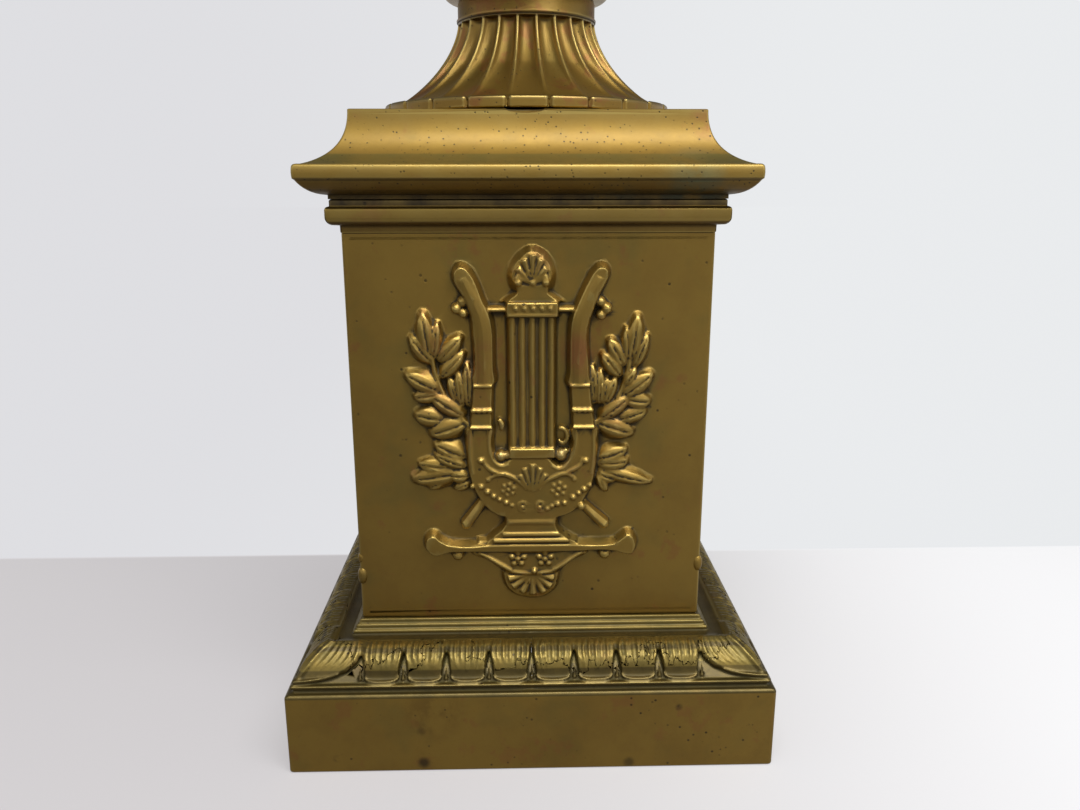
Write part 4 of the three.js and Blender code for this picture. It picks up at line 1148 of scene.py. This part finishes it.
looks = {
    "plinthBase": {
        "copper": 0.35, "copperFrom": 0.58, "olive": 0.3, "worn": 0.15, "hollowGrimeAndShade": 0.92,
        "pitSpacing": 2.6, "pitFrom": 0.54, "roughness": 0.5,
        "stains": [
            ((-33.5, -75, 3), 2.6, "nearBlackGrimeAndShade", 0.8), ((-34, -75, 14), 2, "nearBlackGrimeAndShade", 0.5), ((45, -75, 21), 1.6, "nearBlackGrimeAndShade", 0.8),
            ((-60, -75, 5), 1.8, "nearBlackGrimeAndShade", 0.5), ((30, -75, 2), 2.4, "nearBlackGrimeAndShade", 0.6), ((-52.4, -69, 33), 5, "copper", 0.5),
            ((-30, -75, 20), 12, "brown", 0.5)],
        # painted shade with grime: the block's top edge and cove, the ledge, the leaves' lower ends and the groove
        # under the beads; the slope dulled olive and the beads darkened a little
        "bandsOfGrimeAndShade": [(25.7, 41.6, "olive", 0.6), (25.7, 28.2, "nearBlackGrimeAndShade", 0.55), (28.4, 29.4, "nearBlackGrimeAndShade", 0.4), (29.6, 32.4, "nearBlackGrimeAndShade", 0.55),
                  (37, 37.5, "nearBlackGrimeAndShade", 0.6), (38.2, 41.6, "nearBlackGrimeAndShade", 0.25)]},
    "plinthDie": {
        "copper": 0.4, "copperFrom": 0.58, "olive": 0.4, "worn": 0.3, "hollowGrimeAndShade": 0.92,
        "pitSpacing": 3.2, "pitFrom": 0.54, "roughness": 0.42,
        "stains": [
            ((14.7, -57, 128), 9, "copper", 0.75), ((-14, -57, 125), 9, "copper", 0.45), ((-14.6, -57, 114), 5, "copper", 0.4),
            ((-27, -57, 113), 9, "copper", 0.35), ((27, -57, 109), 7, "copper", 0.3), ((10, -56, 97), 4.5, "chalk", 0.2),
            ((-9, -56, 97), 4, "chalk", 0.25), ((-9.4, -56, 104), 3.5, "chalk", 0.2), ((32.6, -56, 103.7), 2.2, "nearBlackGrimeAndShade", 0.9)],
        # painted shadow under the band, grime and painted shade in the joint under the cap, and a dark joint at the
        # die's foot
        "bandsOfGrimeAndShade": [(163.4, 165.9, "brown", 0.6), (164.6, 166, "nearBlackGrimeAndShade", 0.4), (170.7, 173, "nearBlackGrimeAndShade", 0.85), (40, 42.2, "nearBlackGrimeAndShade", 0.4)],
        "pitted": [((25.5, -57, 69.8), 3.6), ((-10, -56, 143.5), 2.6), ((12.3, -56, 143.8), 2)]},
    "plinthCap": {
        "copper": 0.3, "copperFrom": 0.62, "olive": 0.6, "worn": 0.5, "hollowGrimeAndShade": 0.8,
        "pitSpacing": 1.7, "pitFrom": 0.34, "roughness": 0.56,
        "stains": [
            ((-51, -51, 196), 5, "copper", 0.9), ((51, -51, 194), 7, "copper", 0.9), ((46, -57, 173), 15, "verdigris", 0.9),
            ((24, -57, 173), 10, "verdigris", 0.6)],
        # grime and painted shade in the joint at the cap's foot and under the quarter-round, a painted shade line in
        # the crease under the lip, and darker olive at the sweep's foot
        "bandsOfGrimeAndShade": [(172, 173.7, "nearBlackGrimeAndShade", 0.8), (173.7, 176.8, "brown", 0.5), (173.7, 174.8, "nearBlackGrimeAndShade", 0.4), (177.4, 178, "nearBlackGrimeAndShade", 0.5),
                  (182, 184.4, "olive", 0.75)]},
    "urnFoot": {
        "copper": 0.6, "copperFrom": 0.52, "olive": 0.35, "worn": 0.6, "hollowGrimeAndShade": 0.7,
        "pitSpacing": 1.9, "pitFrom": 0.46, "roughness": 0.44,
        "stains": [((-5.5, -27, 221), 3.2, "nearBlackGrimeAndShade", 0.7), ((-16, -19, 231), 9, "copper", 0.8)],
        # painted shade in the pocket under the collar, and a darker line where the flutes meet the rim
        "bandsOfGrimeAndShade": [(226.2, 227.2, "nearBlackGrimeAndShade", 0.6), (200.2, 201.4, "nearBlackGrimeAndShade", 0.35)],
        "pitted": [((-12, -22, 222), 3.4)]},
    "urnBowl": {"copper": 0.4, "copperFrom": 0.6, "olive": 0.4, "worn": 0.55, "hollowGrimeAndShade": 0.75,
                "pitSpacing": 2.4, "pitFrom": 0.5, "roughness": 0.44},
}
for piece in (makeDie(), makeBase(), makeCap(), makeFoot(), makeBowl()):
    if "hollowNear" not in piece.data.attributes:
        noteHollows(piece, hollowsOf(piece))
    piece.data.materials.clear()
    piece.data.materials.append(antiqueBrass(piece.name + "Brass", looks[piece.name]))


# Camera, light and floor

bpy.ops.object.camera_add(location=(-3.5 * mm, -308.9 * mm, 177.2 * mm), rotation=(math.radians(75.57), math.radians(0.05), math.radians(-1.48)))
camera = bpy.context.object
camera.data.lens = 29
camera.data.sensor_width = 36
camera.data.clip_start = 0.01
bpy.context.scene.camera = camera

bpy.context.scene.view_settings.view_transform = "Standard"

studio = {
    "paper": (0.42, 0.41, 0.415, 1),
    "paperBright": (0.8, 0.79, 0.795, 1),      # on the right, nearer to the window
    "paperLeft": (0.89, 0.855, 0.87, 1),
    "paperRight": (1.02, 1.03, 1.045, 1),
    "wallLeft": (0.735, 0.735, 0.76, 1),
    "wallRight": (0.82, 0.835, 0.85, 1),
    "room": (0.12, 0.12, 0.125, 1),
    "window": (1.15, 1.15, 1.17, 1),
    "windowRight": (1.5, 1.5, 1.53, 1),
    "ceiling": (0.4, 0.4, 0.41, 1),
    "dusk": (0.12, 0.12, 0.12, 1),     # above the wall behind
    "paperGlow": 0.45,            # the paper's own share of light, which keeps its shadows soft
    "seam": 0.088,
    "lampWide": 0.9,
    "lampDeep": 0.4,
    "lampEnergy": 10,
}
bpy.ops.object.light_add(type="AREA", location=(0.16, -0.46, 0.93), rotation=(0.5, 0.18, 0))
lamp = bpy.context.object
lamp.name = "softBox"
lamp.data.shape = "RECTANGLE"
lamp.data.size = studio["lampWide"]
lamp.data.size_y = studio["lampDeep"]
lamp.data.energy = studio["lampEnergy"]

bpy.ops.mesh.primitive_plane_add(size=12, location=(0, 0, 0))
floor = bpy.context.object
floor.name = "studioFloor"
floorPaint = bpy.data.materials.new("floorPaint")
floorPaint.use_nodes = True
paint = Paint(floorPaint.node_tree)
beyond = paint.step(paint.axis("Y"), studio["seam"] - 0.0015, studio["seam"] + 0.0015)
tint = paint.blend(paint.step(paint.axis("X"), -0.25, 0.25), studio["wallLeft"], studio["wallRight"])
glowTint = paint.blend(paint.step(paint.axis("X"), -0.12, 0.22), studio["paperLeft"], studio["paperRight"])
glowTint = paint.blend(beyond, glowTint, tint)
seen = paint.node("LightPath", output="Is Camera Ray")
paperTint = paint.blend(paint.step(paint.axis("X"), -0.05, 0.25), studio["paper"], studio["paperBright"])
paper = paint.node("BsdfDiffuse", {}, {"Color": paperTint})
glow = paint.node("Emission", {}, {"Color": glowTint, "Strength": 1 - (1 - seen) * (1 - beyond)})
surface = paint.node("MixShader", {}, {0: studio["paperGlow"] + beyond * (1 - studio["paperGlow"]), 1: paper, 2: glow})
paint.node("OutputMaterial", {}, {"Surface": surface})
floor.data.materials.append(floorPaint)

world = bpy.data.worlds.new("studio")
world.use_nodes = True
paint = Paint(world.node_tree)
way = paint.node("TexCoord", output="Generated")
across = paint.node("SeparateXYZ", {}, {0: way}, output="X")
back = paint.node("SeparateXYZ", {}, {0: way}, output="Y")
up = paint.node("SeparateXYZ", {}, {0: way}, output="Z")
wall = paint.blend(paint.step(across, -0.4, 0.4), studio["wallLeft"], studio["wallRight"])
window = paint.blend(paint.step(across, -0.1, 0.5), studio["window"], studio["windowRight"])
light = paint.blend(paint.step(up, 0.02, 0.24), studio["room"], window)
light = paint.blend(paint.step(up, 0.34, 0.65), light, studio["ceiling"])
behind = paint.blend(paint.step(up, 0.05, 0.4), wall, studio["dusk"])
light = paint.blend(paint.step(back, 0.05, 0.5), light, behind)
seen = paint.node("LightPath", output="Is Camera Ray")
light = paint.blend(seen, light, wall)
sky = paint.node("Background", {}, {"Color": light, "Strength": 1.0})
paint.node("OutputWorld", {}, {"Surface": sky})
bpy.context.scene.world = world
